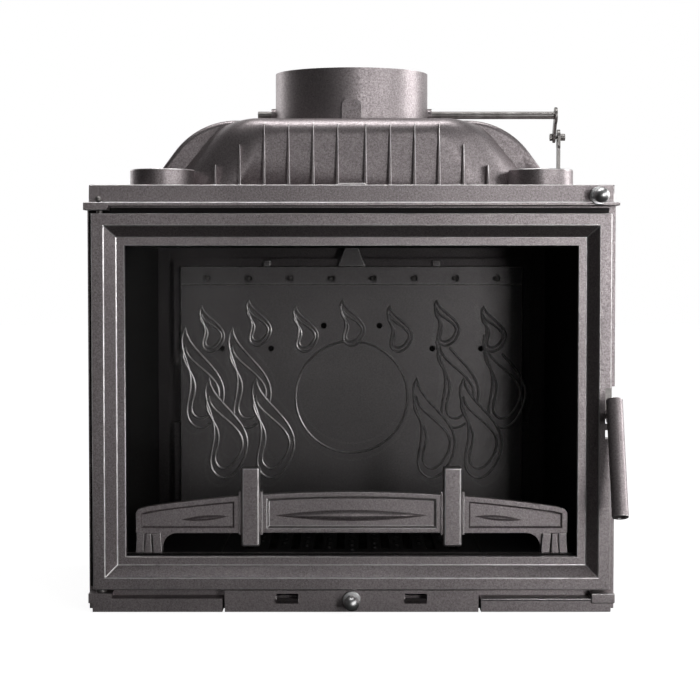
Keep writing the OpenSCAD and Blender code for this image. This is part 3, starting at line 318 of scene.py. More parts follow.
# Most values of a noise lie near 0.5. A range around that makes a mask of it.
NOISE_MIDDLE = (0.35, 0.65)
NOISE_WIDE = (0.3, 0.7)
TONE_RANGE = (0.36, 0.64)
FLECK_RANGE = (0.62, 0.74)
PIT_RANGE = (0.0, 0.45)
COARSE_SHARE = 0.6
PIT_SHARE = 0.35
skin, skin_in, skin_out = new_group(
    "casting_skin", {"Grain": 1.0, "Flecks": 1.0}, ("Tone", "Fleck", "Patch", "Height")
)
skin_place = object_place(skin)
coarse = noise(skin, skin_place, scale=420.0, detail=3.0, rough=0.65)
fine = noise(skin, skin_place, scale=1300.0, detail=2.0, rough=0.6)
patch = noise(skin, skin_place, scale=7.0, detail=4.0, rough=0.6)
tone = maths(skin, "ADD", maths(skin, "MULTIPLY", coarse, COARSE_SHARE),
             maths(skin, "MULTIPLY", fine, 1.0 - COARSE_SHARE))
wide_tone = ranged(skin, tone, *TONE_RANGE)
fleck = ranged(skin, fine, *FLECK_RANGE)
pits = added(skin, "TexVoronoi", Scale=260.0)
skin.links.new(skin_place, pits.inputs["Vector"])
pit = maths(skin, "MULTIPLY", ranged(skin, pits.outputs["Distance"], *PIT_RANGE), PIT_SHARE)
for label, value in (
    ("Tone", maths(skin, "MULTIPLY", wide_tone, skin_in.outputs["Grain"])),
    ("Fleck", maths(skin, "MULTIPLY", fleck, skin_in.outputs["Flecks"])),
    ("Patch", ranged(skin, patch, *NOISE_MIDDLE)),
    ("Height", maths(skin, "ADD", pit, tone)),
):
    skin.links.new(value, skin_out.inputs[label])
print("group", skin.name, "nodes", len(skin.nodes))

# %% [markdown]
# The second group marks the edges. Softened copies carry a face attribute called edge, which
# is 1 on the narrow faces that round an edge. The finishes paint these faces lighter, partly
# as bare iron where the paint wears off and partly as a painted highlight along the edge. A
# noise breaks the line up, because paint wears off an edge in places and not along all of it.

# %% Group: edge wear and painted highlight
LEAST_WEAR_AND_HIGHLIGHT = 0.35
WEAR_AND_HIGHLIGHT_RANGE = (0.3, 0.55)
wear_and_highlight, wear_and_highlight_in, wear_and_highlight_out = new_group("edge_wear_and_highlight", {"Amount": 1.0}, ("Mask",))
edge_mark = added(wear_and_highlight, "Attribute")
edge_mark.attribute_name = "edge"
broken = noise(wear_and_highlight, object_place(wear_and_highlight), scale=34.0, detail=4.0, rough=0.7)
broken_up = ranged(wear_and_highlight, broken, *WEAR_AND_HIGHLIGHT_RANGE, LEAST_WEAR_AND_HIGHLIGHT, 1.0)
# This mark paints edges lighter: partly wear, partly a painted highlight
worn_and_highlit = maths(wear_and_highlight, "MULTIPLY", edge_mark.outputs["Fac"], broken_up)
wear_and_highlight.links.new(maths(wear_and_highlight, "MULTIPLY", worn_and_highlit, wear_and_highlight_in.outputs["Amount"]), wear_and_highlight_out.inputs["Mask"])
print("group", wear_and_highlight.name, "nodes", len(wear_and_highlight.nodes))

# %% [markdown]
# The third group marks where the iron is darkened. Inside the firebox, behind the log guard,
# smoke and fire have darkened it. On the front frame's face round the door the darkening is
# painted shade, standing in for the door's shadow there. Both are boxes in the insert's own
# coordinates, with soft limits.

# %% Group: soot and painted shade
FIREBOX = ((-0.312, 0.312), (-0.154, 0.18), (0.066, 0.5))
FIREBOX_SOFT = 4.0 * MM
FIREBOX_SOOT = 0.86
# Painted shade: this box on the front frame's face round the door is darkened in colour, as if the
# door shaded it
DOOR_SHADE = ((-0.3455, 0.3385), (-0.1886, -0.1846), (0.03, 0.53))
DOOR_SHADE_SOFT = 0.6 * MM


def between(tree, value, low, high, soft):
    """1 between two limits, falling to 0 over a soft distance outside them."""
    rising = ranged(tree, value, low - soft, low)
    return maths(tree, "MULTIPLY", rising, ranged(tree, value, high, high + soft, 1.0, 0.0))


def in_box(tree, axes, limits, soft):
    """1 inside a box given by three pairs of limits."""
    along_x, along_y, along_z = [
        between(tree, axes[axis], low, high, soft) for axis, (low, high) in zip("XYZ", limits)
    ]
    return maths(tree, "MULTIPLY", maths(tree, "MULTIPLY", along_x, along_y), along_z)


soot_and_shade, soot_and_shade_in, soot_and_shade_out = new_group("soot_and_shade", {"Amount": 1.0}, ("Mask",))
darkening_axes = axes_of(soot_and_shade, object_place(soot_and_shade))
fire_side = in_box(soot_and_shade, darkening_axes, FIREBOX, FIREBOX_SOFT)
# Painted shade round the door; real soot only inside the firebox
painted_door_shade = in_box(soot_and_shade, darkening_axes, DOOR_SHADE, DOOR_SHADE_SOFT)
soot_and_shade_mask = maths(soot_and_shade, "MAXIMUM", maths(soot_and_shade, "MULTIPLY", fire_side, FIREBOX_SOOT), painted_door_shade)
soot_and_shade.links.new(maths(soot_and_shade, "MULTIPLY", soot_and_shade_mask, soot_and_shade_in.outputs["Amount"]), soot_and_shade_out.inputs["Mask"])
print("group", soot_and_shade.name, "nodes", len(soot_and_shade.nodes))

# %% [markdown]
# Each finish is a Principled shader whose colour, roughness and bump come from nodes. Colours
# are layered: two tones of paint, thin patches and flecks as on the real casting, then edges
# painted lighter, partly as bare iron and partly as a painted highlight, and last soot, which
# on the front frame round the door is painted shade.


# %% Finish helpers
def start_material(name):
    """A material with its tree and its shader, ready for links."""
    material = bpy.data.materials.new(name)
    material.use_nodes = True
    return material, material.node_tree, material.node_tree.nodes["Principled BSDF"]


def use_group(tree, group, **values):
    """The outputs of a node group placed in a material, with its own values."""
    node = added(tree, "Group")
    node.node_tree = group
    for label, value in values.items():
        node.inputs[label].default_value = value
    return node.outputs


def blend(tree, factor, a, b, kind="MIX"):
    """Two colours mixed by a factor. Each of the three is a value or a socket."""
    mix = added(tree, "Mix")
    mix.data_type = "RGBA"
    mix.blend_type = kind
    if isinstance(factor, float):
        mix.inputs["Factor"].default_value = factor
    else:
        tree.links.new(factor, mix.inputs["Factor"])
    for socket, colour in ((mix.inputs["A"], a), (mix.inputs["B"], b)):
        if isinstance(colour, tuple):
            socket.default_value = (*colour, 1.0)
        else:
            tree.links.new(colour, socket)
    return mix.outputs["Result"]


def grey_of(tree, value):
    """A grey colour from a value."""
    grey = added(tree, "CombineColor")
    for channel in grey.inputs:
        tree.links.new(value, channel)
    return grey.outputs["Color"]


def bumped(tree, shader, height, strength, distance):
    """A bump from a height, over a distance in metres, into the shader's normal."""
    bump = added(tree, "Bump", Strength=strength, Distance=distance)
    tree.links.new(height, bump.inputs["Height"])
    tree.links.new(bump.outputs["Normal"], shader.inputs["Normal"])


print("finish helpers ready")

# %% [markdown]
# Cast iron comes in three finishes. The painted iron of the outside is a slightly warm metal
# grey. The iron around the fire is nearly black and rougher. The fireback is cast smooth and
# lies between the two. Only colours and amounts differ, so one function makes all three.

# %% Cast iron
# The black of soot inside the firebox, also used for the painted shade round the door
SOOT_AND_SHADE_BLACK = (0.012, 0.0115, 0.0112)
HEARTH_TINT = (0.35, 0.34, 0.33, 1.0)
PATCH_SHADES = (0.9, 1.06)
CAST_SPECULAR = 0.3
TONE_ROUGHNESS = 0.08
RUBBED_SMOOTH = 0.7
CAST_BUMP = 0.35 * MM


def cast_finish(name, dark, light, fleck, edge, rough, metal, bump, worn_and_highlit, soot_and_shade_amount):
    """Painted cast iron: grain, patches, bright flecks, lighter edges (wear and painted highlight),
    soot and painted shade.
    """
    material, tree, shader = start_material(name)
    surface = use_group(tree, skin)
    # Edges painted lighter: partly bare iron, partly a painted highlight
    bare_and_highlit_edge = use_group(tree, wear_and_highlight, Amount=worn_and_highlit)["Mask"]
    grained = blend(tree, surface["Tone"], dark, light)
    shade = grey_of(tree, ranged(tree, surface["Patch"], 0.0, 1.0, *PATCH_SHADES))
    patchy = blend(tree, 1.0, grained, shade, "MULTIPLY")
    flecked = blend(tree, surface["Fleck"], patchy, fleck)
    edged = blend(tree, bare_and_highlit_edge, flecked, edge)
    # Soot inside the firebox, and painted shade on the front frame round the door
    blackened = blend(tree, use_group(tree, soot_and_shade, Amount=soot_and_shade_amount)["Mask"], edged, SOOT_AND_SHADE_BLACK)
    tree.links.new(blackened, shader.inputs["Base Color"])
    rougher, smoother = rough + TONE_ROUGHNESS, rough - TONE_ROUGHNESS
    matt = ranged(tree, surface["Tone"], 0.0, 1.0, rougher, smoother)
    rubbed = ranged(tree, bare_and_highlit_edge, 0.0, 1.0, 1.0, RUBBED_SMOOTH)
    tree.links.new(maths(tree, "MULTIPLY", matt, rubbed), shader.inputs["Roughness"])
    shader.inputs["Metallic"].default_value = metal
    shader.inputs["Specular IOR Level"].default_value = CAST_SPECULAR
    bumped(tree, shader, surface["Height"], bump, CAST_BUMP)
    return material


# The edge colours are nearly white: bare iron and a painted highlight along the edges
grey_iron = cast_finish(
    "grey_iron", dark=(0.25, 0.219, 0.224), light=(0.5, 0.45, 0.46), fleck=(0.75, 0.7, 0.71),
    edge=(0.95, 0.92, 0.92), rough=0.45, metal=0.95, bump=0.24, worn_and_highlit=0.9, soot_and_shade_amount=0.97,
)
hearth_iron = cast_finish(
    "hearth_iron", dark=(0.014, 0.0132, 0.0132), light=(0.028, 0.0265, 0.0265),
    fleck=(0.07, 0.07, 0.07), edge=(0.2, 0.19, 0.18), rough=0.6, metal=0.6, bump=0.3, worn_and_highlit=0.4,
    soot_and_shade_amount=0.0,
)
hearth_shader = hearth_iron.node_tree.nodes["Principled BSDF"]
hearth_shader.inputs["Specular Tint"].default_value = HEARTH_TINT
smooth_iron = cast_finish(
    "smooth_iron", dark=(0.11, 0.103, 0.104), light=(0.15, 0.141, 0.142), fleck=(0.2, 0.19, 0.19),
    edge=(0.75, 0.72, 0.72), rough=0.43, metal=0.9, bump=0.2, worn_and_highlit=0.9, soot_and_shade_amount=0.0,
)
print("finishes:", grey_iron.name, hearth_iron.name, smooth_iron.name)

# %% [markdown]
# The rods, pins and screws are plain steel with heat stains. The knobs are plated, and finger
# marks dull them a little. On both, the colour drifts between two tones and fine marks change
# the gloss, so one function makes both.

# %% Steel and chrome
TOUCHES = (180.0, 3.0, 0.6)
METAL_BUMP = 0.1 * MM


def metal_finish(name, stain, marks, dark, light, metal, glossy, matt, bump):
    """A bare metal. Stain and marks are the scale, detail and roughness of a noise."""
    material, tree, shader = start_material(name)
    place = object_place(tree)
    stained = ranged(tree, noise(tree, place, *stain), *NOISE_MIDDLE)
    tree.links.new(blend(tree, stained, dark, light), shader.inputs["Base Color"])
    marked = noise(tree, place, *marks)
    tree.links.new(ranged(tree, marked, *NOISE_WIDE, glossy, matt), shader.inputs["Roughness"])
    shader.inputs["Metallic"].default_value = metal
    bumped(tree, shader, marked, bump, METAL_BUMP)
    return material


plain_steel = metal_finish(
    "plain_steel", stain=(60.0, 5.0, 0.65), marks=(900.0, 2.0, 0.6), dark=(0.19, 0.178, 0.17),
    light=(0.36, 0.345, 0.335), metal=0.75, glossy=0.3, matt=0.5, bump=0.25,
)
bright_chrome = metal_finish(
    "bright_chrome", stain=TOUCHES, marks=TOUCHES, dark=(0.72, 0.72, 0.72),
    light=(0.82, 0.82, 0.82), metal=1.0, glossy=0.32, matt=0.42, bump=0.05,
)
print("finishes:", plain_steel.name, bright_chrome.name)

# %% [markdown]
# The window is ceramic glass with a faint film of smoke. Full refraction needs many bounces,
# which a dark firebox doesn't repay. So a low alpha makes the glass nearly clear, and only a
# thin share of it mirrors the room.

# %% Glass
GLASS_COLOUR = (0.93, 0.95, 0.95, 1.0)
GLASS_IOR = 1.45
FILM_STRENGTH = 0.02
FILM_BUMP = 0.2 * MM
clear_glass, glass_tree, glass_shader = start_material("clear_glass")
film = noise(glass_tree, object_place(glass_tree), scale=11.0, detail=4.0, rough=0.6)
glass_shader.inputs["Base Color"].default_value = GLASS_COLOUR
glass_shader.inputs["Transmission Weight"].default_value = 1.0
glass_shader.inputs["IOR"].default_value = GLASS_IOR
for label, least, most in (("Roughness", 0.02, 0.06), ("Alpha", 0.03, 0.045)):
    glass_tree.links.new(
        ranged(glass_tree, film, *NOISE_MIDDLE, least, most), glass_shader.inputs[label]
    )
bumped(glass_tree, glass_shader, film, FILM_STRENGTH, FILM_BUMP)
print("finish:", clear_glass.name)

# %% [markdown]
# The door closes on a rope of woven glass fibre. Slanting waves stand for its strands and a
# very fine noise for its fibres.

# %% Woven rope
FIBRE_SHARE = 0.4
ROPE_DARK = (0.1, 0.097, 0.093)
ROPE_LIGHT = (0.26, 0.25, 0.24)
ROPE_ROUGHNESS = (0.8, 0.95)
ROPE_SPECULAR = 0.2
ROPE_STRENGTH = 0.6
ROPE_BUMP = 0.6 * MM
woven_rope, rope_tree, rope_shader = start_material("woven_rope")
rope_place = object_place(rope_tree)
strands = added(rope_tree, "TexWave", Scale=95.0, Distortion=1.5)
strands.wave_type = "BANDS"
strands.bands_direction = "DIAGONAL"
rope_tree.links.new(rope_place, strands.inputs["Vector"])
strand = strands.outputs["Fac"]
fibres = noise(rope_tree, rope_place, scale=1500.0, detail=3.0, rough=0.7)
rope_height = maths(rope_tree, "ADD", strand, maths(rope_tree, "MULTIPLY", fibres, FIBRE_SHARE))
rope_colour = blend(rope_tree, strand, ROPE_DARK, ROPE_LIGHT)
rope_rough = ranged(rope_tree, fibres, *NOISE_WIDE, *ROPE_ROUGHNESS)
rope_tree.links.new(rope_colour, rope_shader.inputs["Base Color"])
rope_tree.links.new(rope_rough, rope_shader.inputs["Roughness"])
rope_shader.inputs["Specular IOR Level"].default_value = ROPE_SPECULAR
bumped(rope_tree, rope_shader, rope_height, ROPE_STRENGTH, ROPE_BUMP)
print("finish:", woven_rope.name)

# %% [markdown]
# Each solid names its material slot in the record, and each slot has one finish.

# %% Finishes by slot
FINISH = {
    "grey_iron": grey_iron, "hearth_iron": hearth_iron, "smooth_iron": smooth_iron,
    "plain_steel": plain_steel, "bright_chrome": bright_chrome, "clear_glass": clear_glass,
    "woven_rope": woven_rope,
}
SLOT = {s["node"]: s["material_slot"] for s in frame["record"]["subparts"]}
print("finishes:", len(FINISH), "slots in use:", len(set(SLOT.values())))

# %% [markdown]
# Most pieces are softened copies. The solid's mesh is copied, its doubles are merged and its
# flat faces joined, and the bevel operator rounds every sharp edge by a small amount. The
# faces that the bevel makes get the edge attribute, which the finishes paint lighter, partly
# as wear and partly as a painted highlight. Afterwards the weighted normals keep the large
# faces flat.


# %% Helpers for pieces
SMOOTH_UP_TO = 42.0
SHARP_FROM = 28.0
DOUBLES = 0.002 * MM
FLAT_WITHIN = 0.3


def finish_piece(name, mesh, replaced=(), slot="grey_iron", body="insert_body"):
    """Turns a bmesh into a finished piece of the insert that rides on a body."""
    piece = as_object(name, mesh)
    piece.data.materials.append(FINISH[slot])
    piece.data.polygons.foreach_set("use_smooth", [True] * len(piece.data.polygons))
    piece.data.set_sharp_from_angle(angle=math.radians(SMOOTH_UP_TO))
    weighted = piece.modifiers.new("flat_faces", "WEIGHTED_NORMAL")
    weighted.keep_sharp = True
    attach(piece, body)
    if replaced:
        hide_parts(*replaced)
    return piece


def round_edges(mesh, width, segments=3, sharp=SHARP_FROM, shortest=0.0):
    """Rounds the long enough sharp edges by a width in mm, and marks the new faces."""
    mark = mesh.faces.layers.float.get("edge") or mesh.faces.layers.float.new("edge")
    mesh.edges.ensure_lookup_table()
    chosen = [
        e for e in mesh.edges
        if e.is_manifold and e.calc_face_angle() > math.radians(sharp)
        and e.calc_length() > shortest * MM
    ]
    made = bmesh.ops.bevel(
        mesh, geom=chosen, offset=width * MM, offset_type="OFFSET", affect="EDGES",
        segments=segments, profile=0.5, material=-1, clamp_overlap=shortest == 0.0,
    )
    # The new faces are marked, and the finishes paint them lighter: partly wear, partly a painted
    # highlight
    for face in made["faces"]:
        face[mark] = 1.0
    return len(chosen)


def merged_copy(node):
    """A bmesh of a solid with its doubles merged and its flat faces joined."""
    mesh = bmesh.new()
    mesh.from_mesh(nodes[node].data)
    bmesh.ops.remove_doubles(mesh, verts=mesh.verts, dist=DOUBLES)
    bmesh.ops.dissolve_limit(
        mesh, angle_limit=math.radians(FLAT_WITHIN), verts=mesh.verts, edges=mesh.edges
    )
    return mesh


def soften(node, width, shortest=0.0):
    """The softened copy of a solid, in its own finish, which replaces it."""
    mesh = merged_copy(node)
    count = round_edges(mesh, width, shortest=shortest)
    body = nodes[node]["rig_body"]
    piece = finish_piece("soft_" + node, mesh, (node,), SLOT[node], body)
    print(node, "edges rounded:", count, "faces:", len(piece.data.polygons))


print("piece helpers ready")

# %% [markdown]
# A sand casting has rounder edges than a machined part: about a millimetre on the plates, and
# most on the caps. The door's frame and the top plate also have a few tiny edges. The bevel
# would shrink every width to fit those, so on these two only the long edges are rounded.

# %% Soft castings
CASTINGS = {
    "front_frame": 0.8, "left_side_wall": 1.2, "right_side_wall": 1.2, "back_wall": 1.5,
    "flue_collar": 1.2, "left_port_cap": 2.2, "right_port_cap": 2.2,
    "left_apron": 0.9, "right_apron": 0.9, "centre_panel": 0.9, "left_hearth_plate": 1.2,
    "right_hearth_plate": 1.2, "base_casting": 1.5, "left_liner": 1.2, "right_liner": 1.2,
    "fireback_hook": 1.5, "fireback_clips": 1.2, "baffle": 1.5, "ash_grate": 1.0,
    "latch_lever": 0.8, "handle_grip": 0.9, "damper_disc": 1.0,
}
LONG_EDGED_CASTINGS = {"door_frame": 1.1, "top_plate": 1.2}
LONG_EDGE = 20.0
for casting, soft_width in CASTINGS.items():
    soften(casting, soft_width)
for casting, soft_width in LONG_EDGED_CASTINGS.items():
    soften(casting, soft_width, LONG_EDGE)
print("castings:", len(CASTINGS) + len(LONG_EDGED_CASTINGS))

# %% [markdown]
# The steel parts are cut and turned, so their edges are only broken by about half a millimetre.
# The upper hinge pin has a domed end, which its larger width makes.

# %% Soft steel parts
STEEL_PARTS = {
    "ash_pan": 0.5, "upper_hinge_pin": 2.6, "lower_hinge_pin": 0.8, "latch_keeper": 0.7,
    "keeper_screws": 0.5, "damper_rod_guide": 0.8, "glass_clips": 0.4, "clip_screws": 0.3,
    "latch_pivot_pin": 0.6, "damper_shaft": 0.6, "damper_crank": 0.7, "crank_pin": 0.6,
    "crank_nut": 0.4, "damper_rod": 0.5, "damper_link": 0.6, "air_rod": 0.5, "air_gate": 0.6,
}
for part, soft_width in STEEL_PARTS.items():
    soften(part, soft_width)
print("steel parts:", len(STEEL_PARTS))

# %% [markdown]
# The smoke dome is one thin casting with big soft shoulders: a rear part, and a bulge in front
# of it that carries the ribs. Each is its outline at the back, drawn forwards, so the outline
# comes first.

# %% Dome outline
dome_low, dome_high = box_mm("smoke_dome")
DOME_FOOT = dome_low.z
DOME_TOP = dome_high.z
DOME_TALL = DOME_TOP - DOME_FOOT
SHOULDER_STEPS = 14


def dome_outline(half_width, upright, flank, shoulder):
    """Half outline in X and Z: an upright foot, a sloping flank, a round shoulder."""
    turn_z = DOME_TALL - shoulder * (1.0 - math.cos(flank))
    turn_x = half_width - (turn_z - upright) / math.tan(flank)
    middle_x = turn_x - shoulder * math.sin(flank)
    points = [(half_width, 0.0), (half_width, upright)]
    for step in range(SHOULDER_STEPS + 1):
        angle = flank * (1.0 - step / SHOULDER_STEPS)
        points.append((
            middle_x + shoulder * math.sin(angle), DOME_TALL - shoulder * (1.0 - math.cos(angle))
        ))
    return points


print("dome height:", DOME_TALL, "mm")

# %% [markdown]
# The outline is extruded to the front in steps, and each step draws it in along a quarter
# circle, which rounds the front. The number of points stays the same, so the faces stay
# four-sided and shade well.

# %% Dome block
FRONT_STEPS = 12


def move(mesh, verts, x=0.0, y=0.0, z=0.0):
    """Moves vertices by a step in millimetres."""
    bmesh.ops.translate(mesh, vec=(x * MM, y * MM, z * MM), verts=verts)


def pulled(mesh, face):
    """Extrudes a face. Gives its new vertices and the new face."""
    grown = bmesh.ops.extrude_face_region(mesh, geom=[face])["geom"]
    verts = [g for g in grown if isinstance(g, bmesh.types.BMVert)]
    return verts, [g for g in grown if isinstance(g, bmesh.types.BMFace)][0]


def dome_block(half_width, upright, flank, shoulder, front, back, side_round, top_round):
    """A closed block with the dome's outline, drawn in towards the front."""
    mesh = bmesh.new()
    half = dome_outline(half_width, upright, math.radians(flank), shoulder)
    ring = half + [(-x, z) for x, z in reversed(half)]
    end = mesh.faces.new([mesh.verts.new((x * MM, back * MM, z * MM)) for x, z in ring])
    reached, wide, tall = back, half_width, DOME_TALL
    for step in range(FRONT_STEPS + 1):
        ahead = 1.0 - math.sin(0.5 * math.pi * step / FRONT_STEPS)
        distance = side_round * ahead
        narrowed = side_round - math.sqrt(side_round**2 - (side_round - distance) ** 2)
        near_top = max(0.0, top_round - distance)
        lowered = top_round - math.sqrt(top_round**2 - near_top**2)
        moved, new_end = pulled(mesh, end)
        if step:
            bmesh.ops.delete(mesh, geom=[end], context="FACES_ONLY")
        place = front + distance
        move(mesh, moved, y=place - reached)
        new_wide = half_width - narrowed
        new_tall = DOME_TALL - lowered
        bmesh.ops.scale(mesh, vec=(new_wide / wide, 1.0, new_tall / tall), verts=moved)
        reached, wide, tall, end = place, new_wide, new_tall, new_end
    move(mesh, mesh.verts, z=DOME_FOOT)
    bmesh.ops.recalc_face_normals(mesh, faces=mesh.faces)
    return mesh


print("dome block ready, steps:", FRONT_STEPS)

# %% [markdown]
# A Boolean joins the bulge to the rear part, with the crease exactly where the two forms meet,
# and another cuts the throat for the collar. The floor of the block is deleted, and Solidify
# then gives the open skin the wall of a casting.

# %% Dome body
DOME_REAR = {
    "half_width": 268.0, "upright": 36.0, "flank": 53.5, "shoulder": 106.0,
    "front": -82.0, "back": 150.0, "side_round": 6.0, "top_round": 6.0,
}
DOME_BULGE = {
    "half_width": 249.0, "upright": 28.0, "flank": 50.0, "shoulder": 70.0,
    "front": -142.0, "back": 130.0, "side_round": 92.0, "top_round": 24.0,
}
DOME_WALL = 7.0
THROAT = 99.0
THROAT_CUT = 40.0
THROAT_SIDES = 96
THROAT_MARGIN = 0.5
OPEN_MARGIN = 0.1


def evaluated(thing):
    """The mesh of an object after its modifiers, or of a curve with its bevel."""
    mesh = bmesh.new()
    mesh.from_mesh(thing.evaluated_get(bpy.context.evaluated_depsgraph_get()).to_mesh())
    return mesh


def carved(base, extra, holes):
    """The mesh of an object after a union and a difference. The three objects go."""
    for tool, operation in ((extra, "UNION"), (holes, "DIFFERENCE")):
        cutter = base.modifiers.new(tool.name, "BOOLEAN")
        cutter.operation = operation
        cutter.object = tool
        cutter.solver = "EXACT"
    mesh = evaluated(base)
    for used in (base, extra, holes):
        bpy.data.objects.remove(used)
    return mesh


def cylinder(radius, depth, segments):
    """A closed cylinder along Z."""
    mesh = bmesh.new()
    bmesh.ops.create_cone(
        mesh, cap_ends=True, segments=segments, radius1=radius * MM, radius2=radius * MM,
        depth=depth * MM,
    )
    return mesh


def is_open(face):
    """Whether a face lies below the dome or in its throat, which are open."""
    middle = face.calc_center_median() / MM
    in_throat = middle.xy.length < THROAT + THROAT_MARGIN and middle.z < DOME_TOP - OPEN_MARGIN
    return middle.z < DOME_FOOT + OPEN_MARGIN or in_throat


rear_part = as_object("dome_rear", dome_block(**DOME_REAR))
bulge = as_object("dome_bulge", dome_block(**DOME_BULGE))
drill = cylinder(THROAT, THROAT_CUT, THROAT_SIDES)
move(drill, drill.verts, z=DOME_TOP)
dome_skin = carved(rear_part, bulge, as_object("dome_drill", drill))
bmesh.ops.delete(dome_skin, geom=[f for f in dome_skin.faces if is_open(f)], context="FACES")
print("dome faces:", len(dome_skin.faces))
dome_body = finish_piece("dome_body", dome_skin, ("smoke_dome",))
dome_wall = dome_body.modifiers.new("wall", "SOLIDIFY")
dome_wall.thickness = DOME_WALL * MM
dome_wall.offset = -1.0

# %% [markdown]
# The ribs are thin blades, wider at the foot than at the top, so that the pattern leaves the
# sand. Their tops lean back and run out into the dome. The two outer ones on each side are
# lower.

# %% Dome ribs
RIB_FIRST = 18.7
RIB_PITCH = 32.7
RIB_TOPS = (104.0, 104.0, 104.0, 104.0, 76.0, 49.0)
RIB_ROOTS = (-125.0, -125.0, -125.0, -120.0, -104.0, -84.0)
RIB_FRONT = -155.0
RIB_WIDE = 4.6
RIB_THIN = 1.3
RIB_LEAN = 10.0
RIB_SOFT = 1.1
RIB_SHARP = 40.0


def rib(x, height, root):
    """One blade from its foot on the plate to its pointed upper end."""
    mesh = bmesh.new()
    made = bmesh.ops.create_cube(mesh, size=MM)
    bmesh.ops.scale(mesh, vec=(RIB_WIDE, root - RIB_FRONT, height), verts=made["verts"])
    middle_y = (root + RIB_FRONT) / 2.0
    middle_z = DOME_FOOT + height / 2.0
    move(mesh, made["verts"], y=middle_y, z=middle_z)
    high = [v for v in made["verts"] if v.co.z > middle_z * MM]
    brow = [v for v in high if v.co.y < middle_y * MM]
    bmesh.ops.scale(mesh, vec=(RIB_THIN / RIB_WIDE, 1.0, 1.0), verts=high)
    move(mesh, brow, y=RIB_LEAN)
    move(mesh, mesh.verts, x=x)
    round_edges(mesh, RIB_SOFT, sharp=RIB_SHARP)
    return mesh


def merged(pieces):
    """One bmesh from several."""
    joined = bmesh.new()
    for piece in pieces:
        holder = bpy.data.meshes.new("holder")
        piece.to_mesh(holder)
        piece.free()
        joined.from_mesh(holder)
        bpy.data.meshes.remove(holder)
    return joined


blades = [
    rib(side * (RIB_FIRST + step * RIB_PITCH), height, root)
    for side in (-1.0, 1.0)
    for step, (height, root) in enumerate(zip(RIB_TOPS, RIB_ROOTS))
]
finish_piece("dome_ribs", merged(blades))
print("ribs:", len(blades))

# %% [markdown]
# A small ledge bridges the two middle ribs near their foot: a box with rounded edges. The log
# guard and the fireback use such boxes too.

# %% Dome ledge
LEDGE_DEPTH = (-156.0, -140.0)
LEDGE_ABOVE_FOOT = (21.0, 24.0)
LEDGE_SOFT = 0.9


def block(x, y, z, soft, steps=3):
    """A box between limits in mm, with rounded edges."""
    mesh = bmesh.new()
    made = bmesh.ops.create_cube(mesh, size=MM)
    sizes = [high - low for low, high in (x, y, z)]
    middles = [(high + low) / 2.0 for low, high in (x, y, z)]
    bmesh.ops.scale(mesh, vec=sizes, verts=made["verts"])
    move(mesh, made["verts"], *middles)
    round_edges(mesh, soft, steps)
    return mesh


ledge_z = [DOME_FOOT + above for above in LEDGE_ABOVE_FOOT]
ledge = block((-RIB_FIRST, RIB_FIRST), LEDGE_DEPTH, ledge_z, LEDGE_SOFT)
finish_piece("dome_ledge", ledge)
print("ledge:", 2.0 * RIB_FIRST, "mm wide")

# %% [markdown]
# The log guard is a low cast bar in front of the fire, with an arched top. Each of its three
# bays is a plate whose face is inset twice: once for the raised rim, and once for the slope
# down to the panel.

# %% Log guard: bays
guard_low, guard_high = box_mm("log_guard")
GUARD_END = guard_high.x
GUARD_BACK = guard_high.y
GUARD_FLOOR = guard_low.z
GUARD_FRONT = -175.0
BAR_LOW = 98.5
BAR_HIGH = 153.5
BAR_DROP = 22.0
RIM = 6.4
PANEL_SLOPE = 2.4
PANEL_DEPTH = 3.2
PANEL_SOFT = 0.9
PANEL_SHARP = 25.0
FACES_FRONT = -0.9
ARCH_STEPS = 10


def bar_top(x):
    """Height of the bar's arched top at a place along it."""
    return BAR_HIGH - BAR_DROP * (x / GUARD_END) ** 2


def arched(start, end):
    """Points along the bar's top."""
    places = [start + (end - start) * i / ARCH_STEPS for i in range(ARCH_STEPS + 1)]
    return [(x, bar_top(x)) for x in places]


def plate(outline, front, back):
    """A plate between two depths, from an outline in X and Z, all in mm."""
    mesh = bmesh.new()
    face = mesh.faces.new([mesh.verts.new((x * MM, front * MM, z * MM)) for x, z in outline])
    moved, _ = pulled(mesh, face)
    move(mesh, moved, y=back - front)
    bmesh.ops.recalc_face_normals(mesh, faces=mesh.faces)
    return mesh


def front_face(mesh):
    """The largest face that looks to the front."""
    facing = [f for f in mesh.faces if f.normal.y < FACES_FRONT]
    return max(facing, key=lambda f: f.calc_area())


def panelled(outline):
    """A bay of the bar: a plate with a raised rim round a sunk panel."""
    mesh = plate(outline, GUARD_FRONT, GUARD_BACK)
    face = front_face(mesh)
    bmesh.ops.inset_region(mesh, faces=[face], thickness=RIM * MM, use_even_offset=True)
    bmesh.ops.inset_region(
        mesh, faces=[face], thickness=PANEL_SLOPE * MM, depth=-PANEL_DEPTH * MM,
        use_even_offset=True,
    )
    round_edges(mesh, PANEL_SOFT, sharp=PANEL_SHARP)
    return mesh


print("bar height in the middle:", BAR_HIGH - BAR_LOW, "mm")

# %% [markdown]
# A lens-shaped ridge lies on each panel. Its outline is two arcs that meet in points, and it
# rises in three steps, each narrower than the one before, to a soft keel.

# %% Log guard: ridges
LENS_STEPS = 12
LENS_LAYERS = ((1.8, 0.78), (1.3, 0.5), (0.7, 0.2))


def arc(middle_x, middle_z, radius, start, end, steps):
    """Points on a circle from one angle to another, in degrees from X towards Z."""
    angles = [math.radians(start + (end - start) * i / steps) for i in range(steps + 1)]
    return [(middle_x + radius * math.cos(a), middle_z + radius * math.sin(a)) for a in angles]


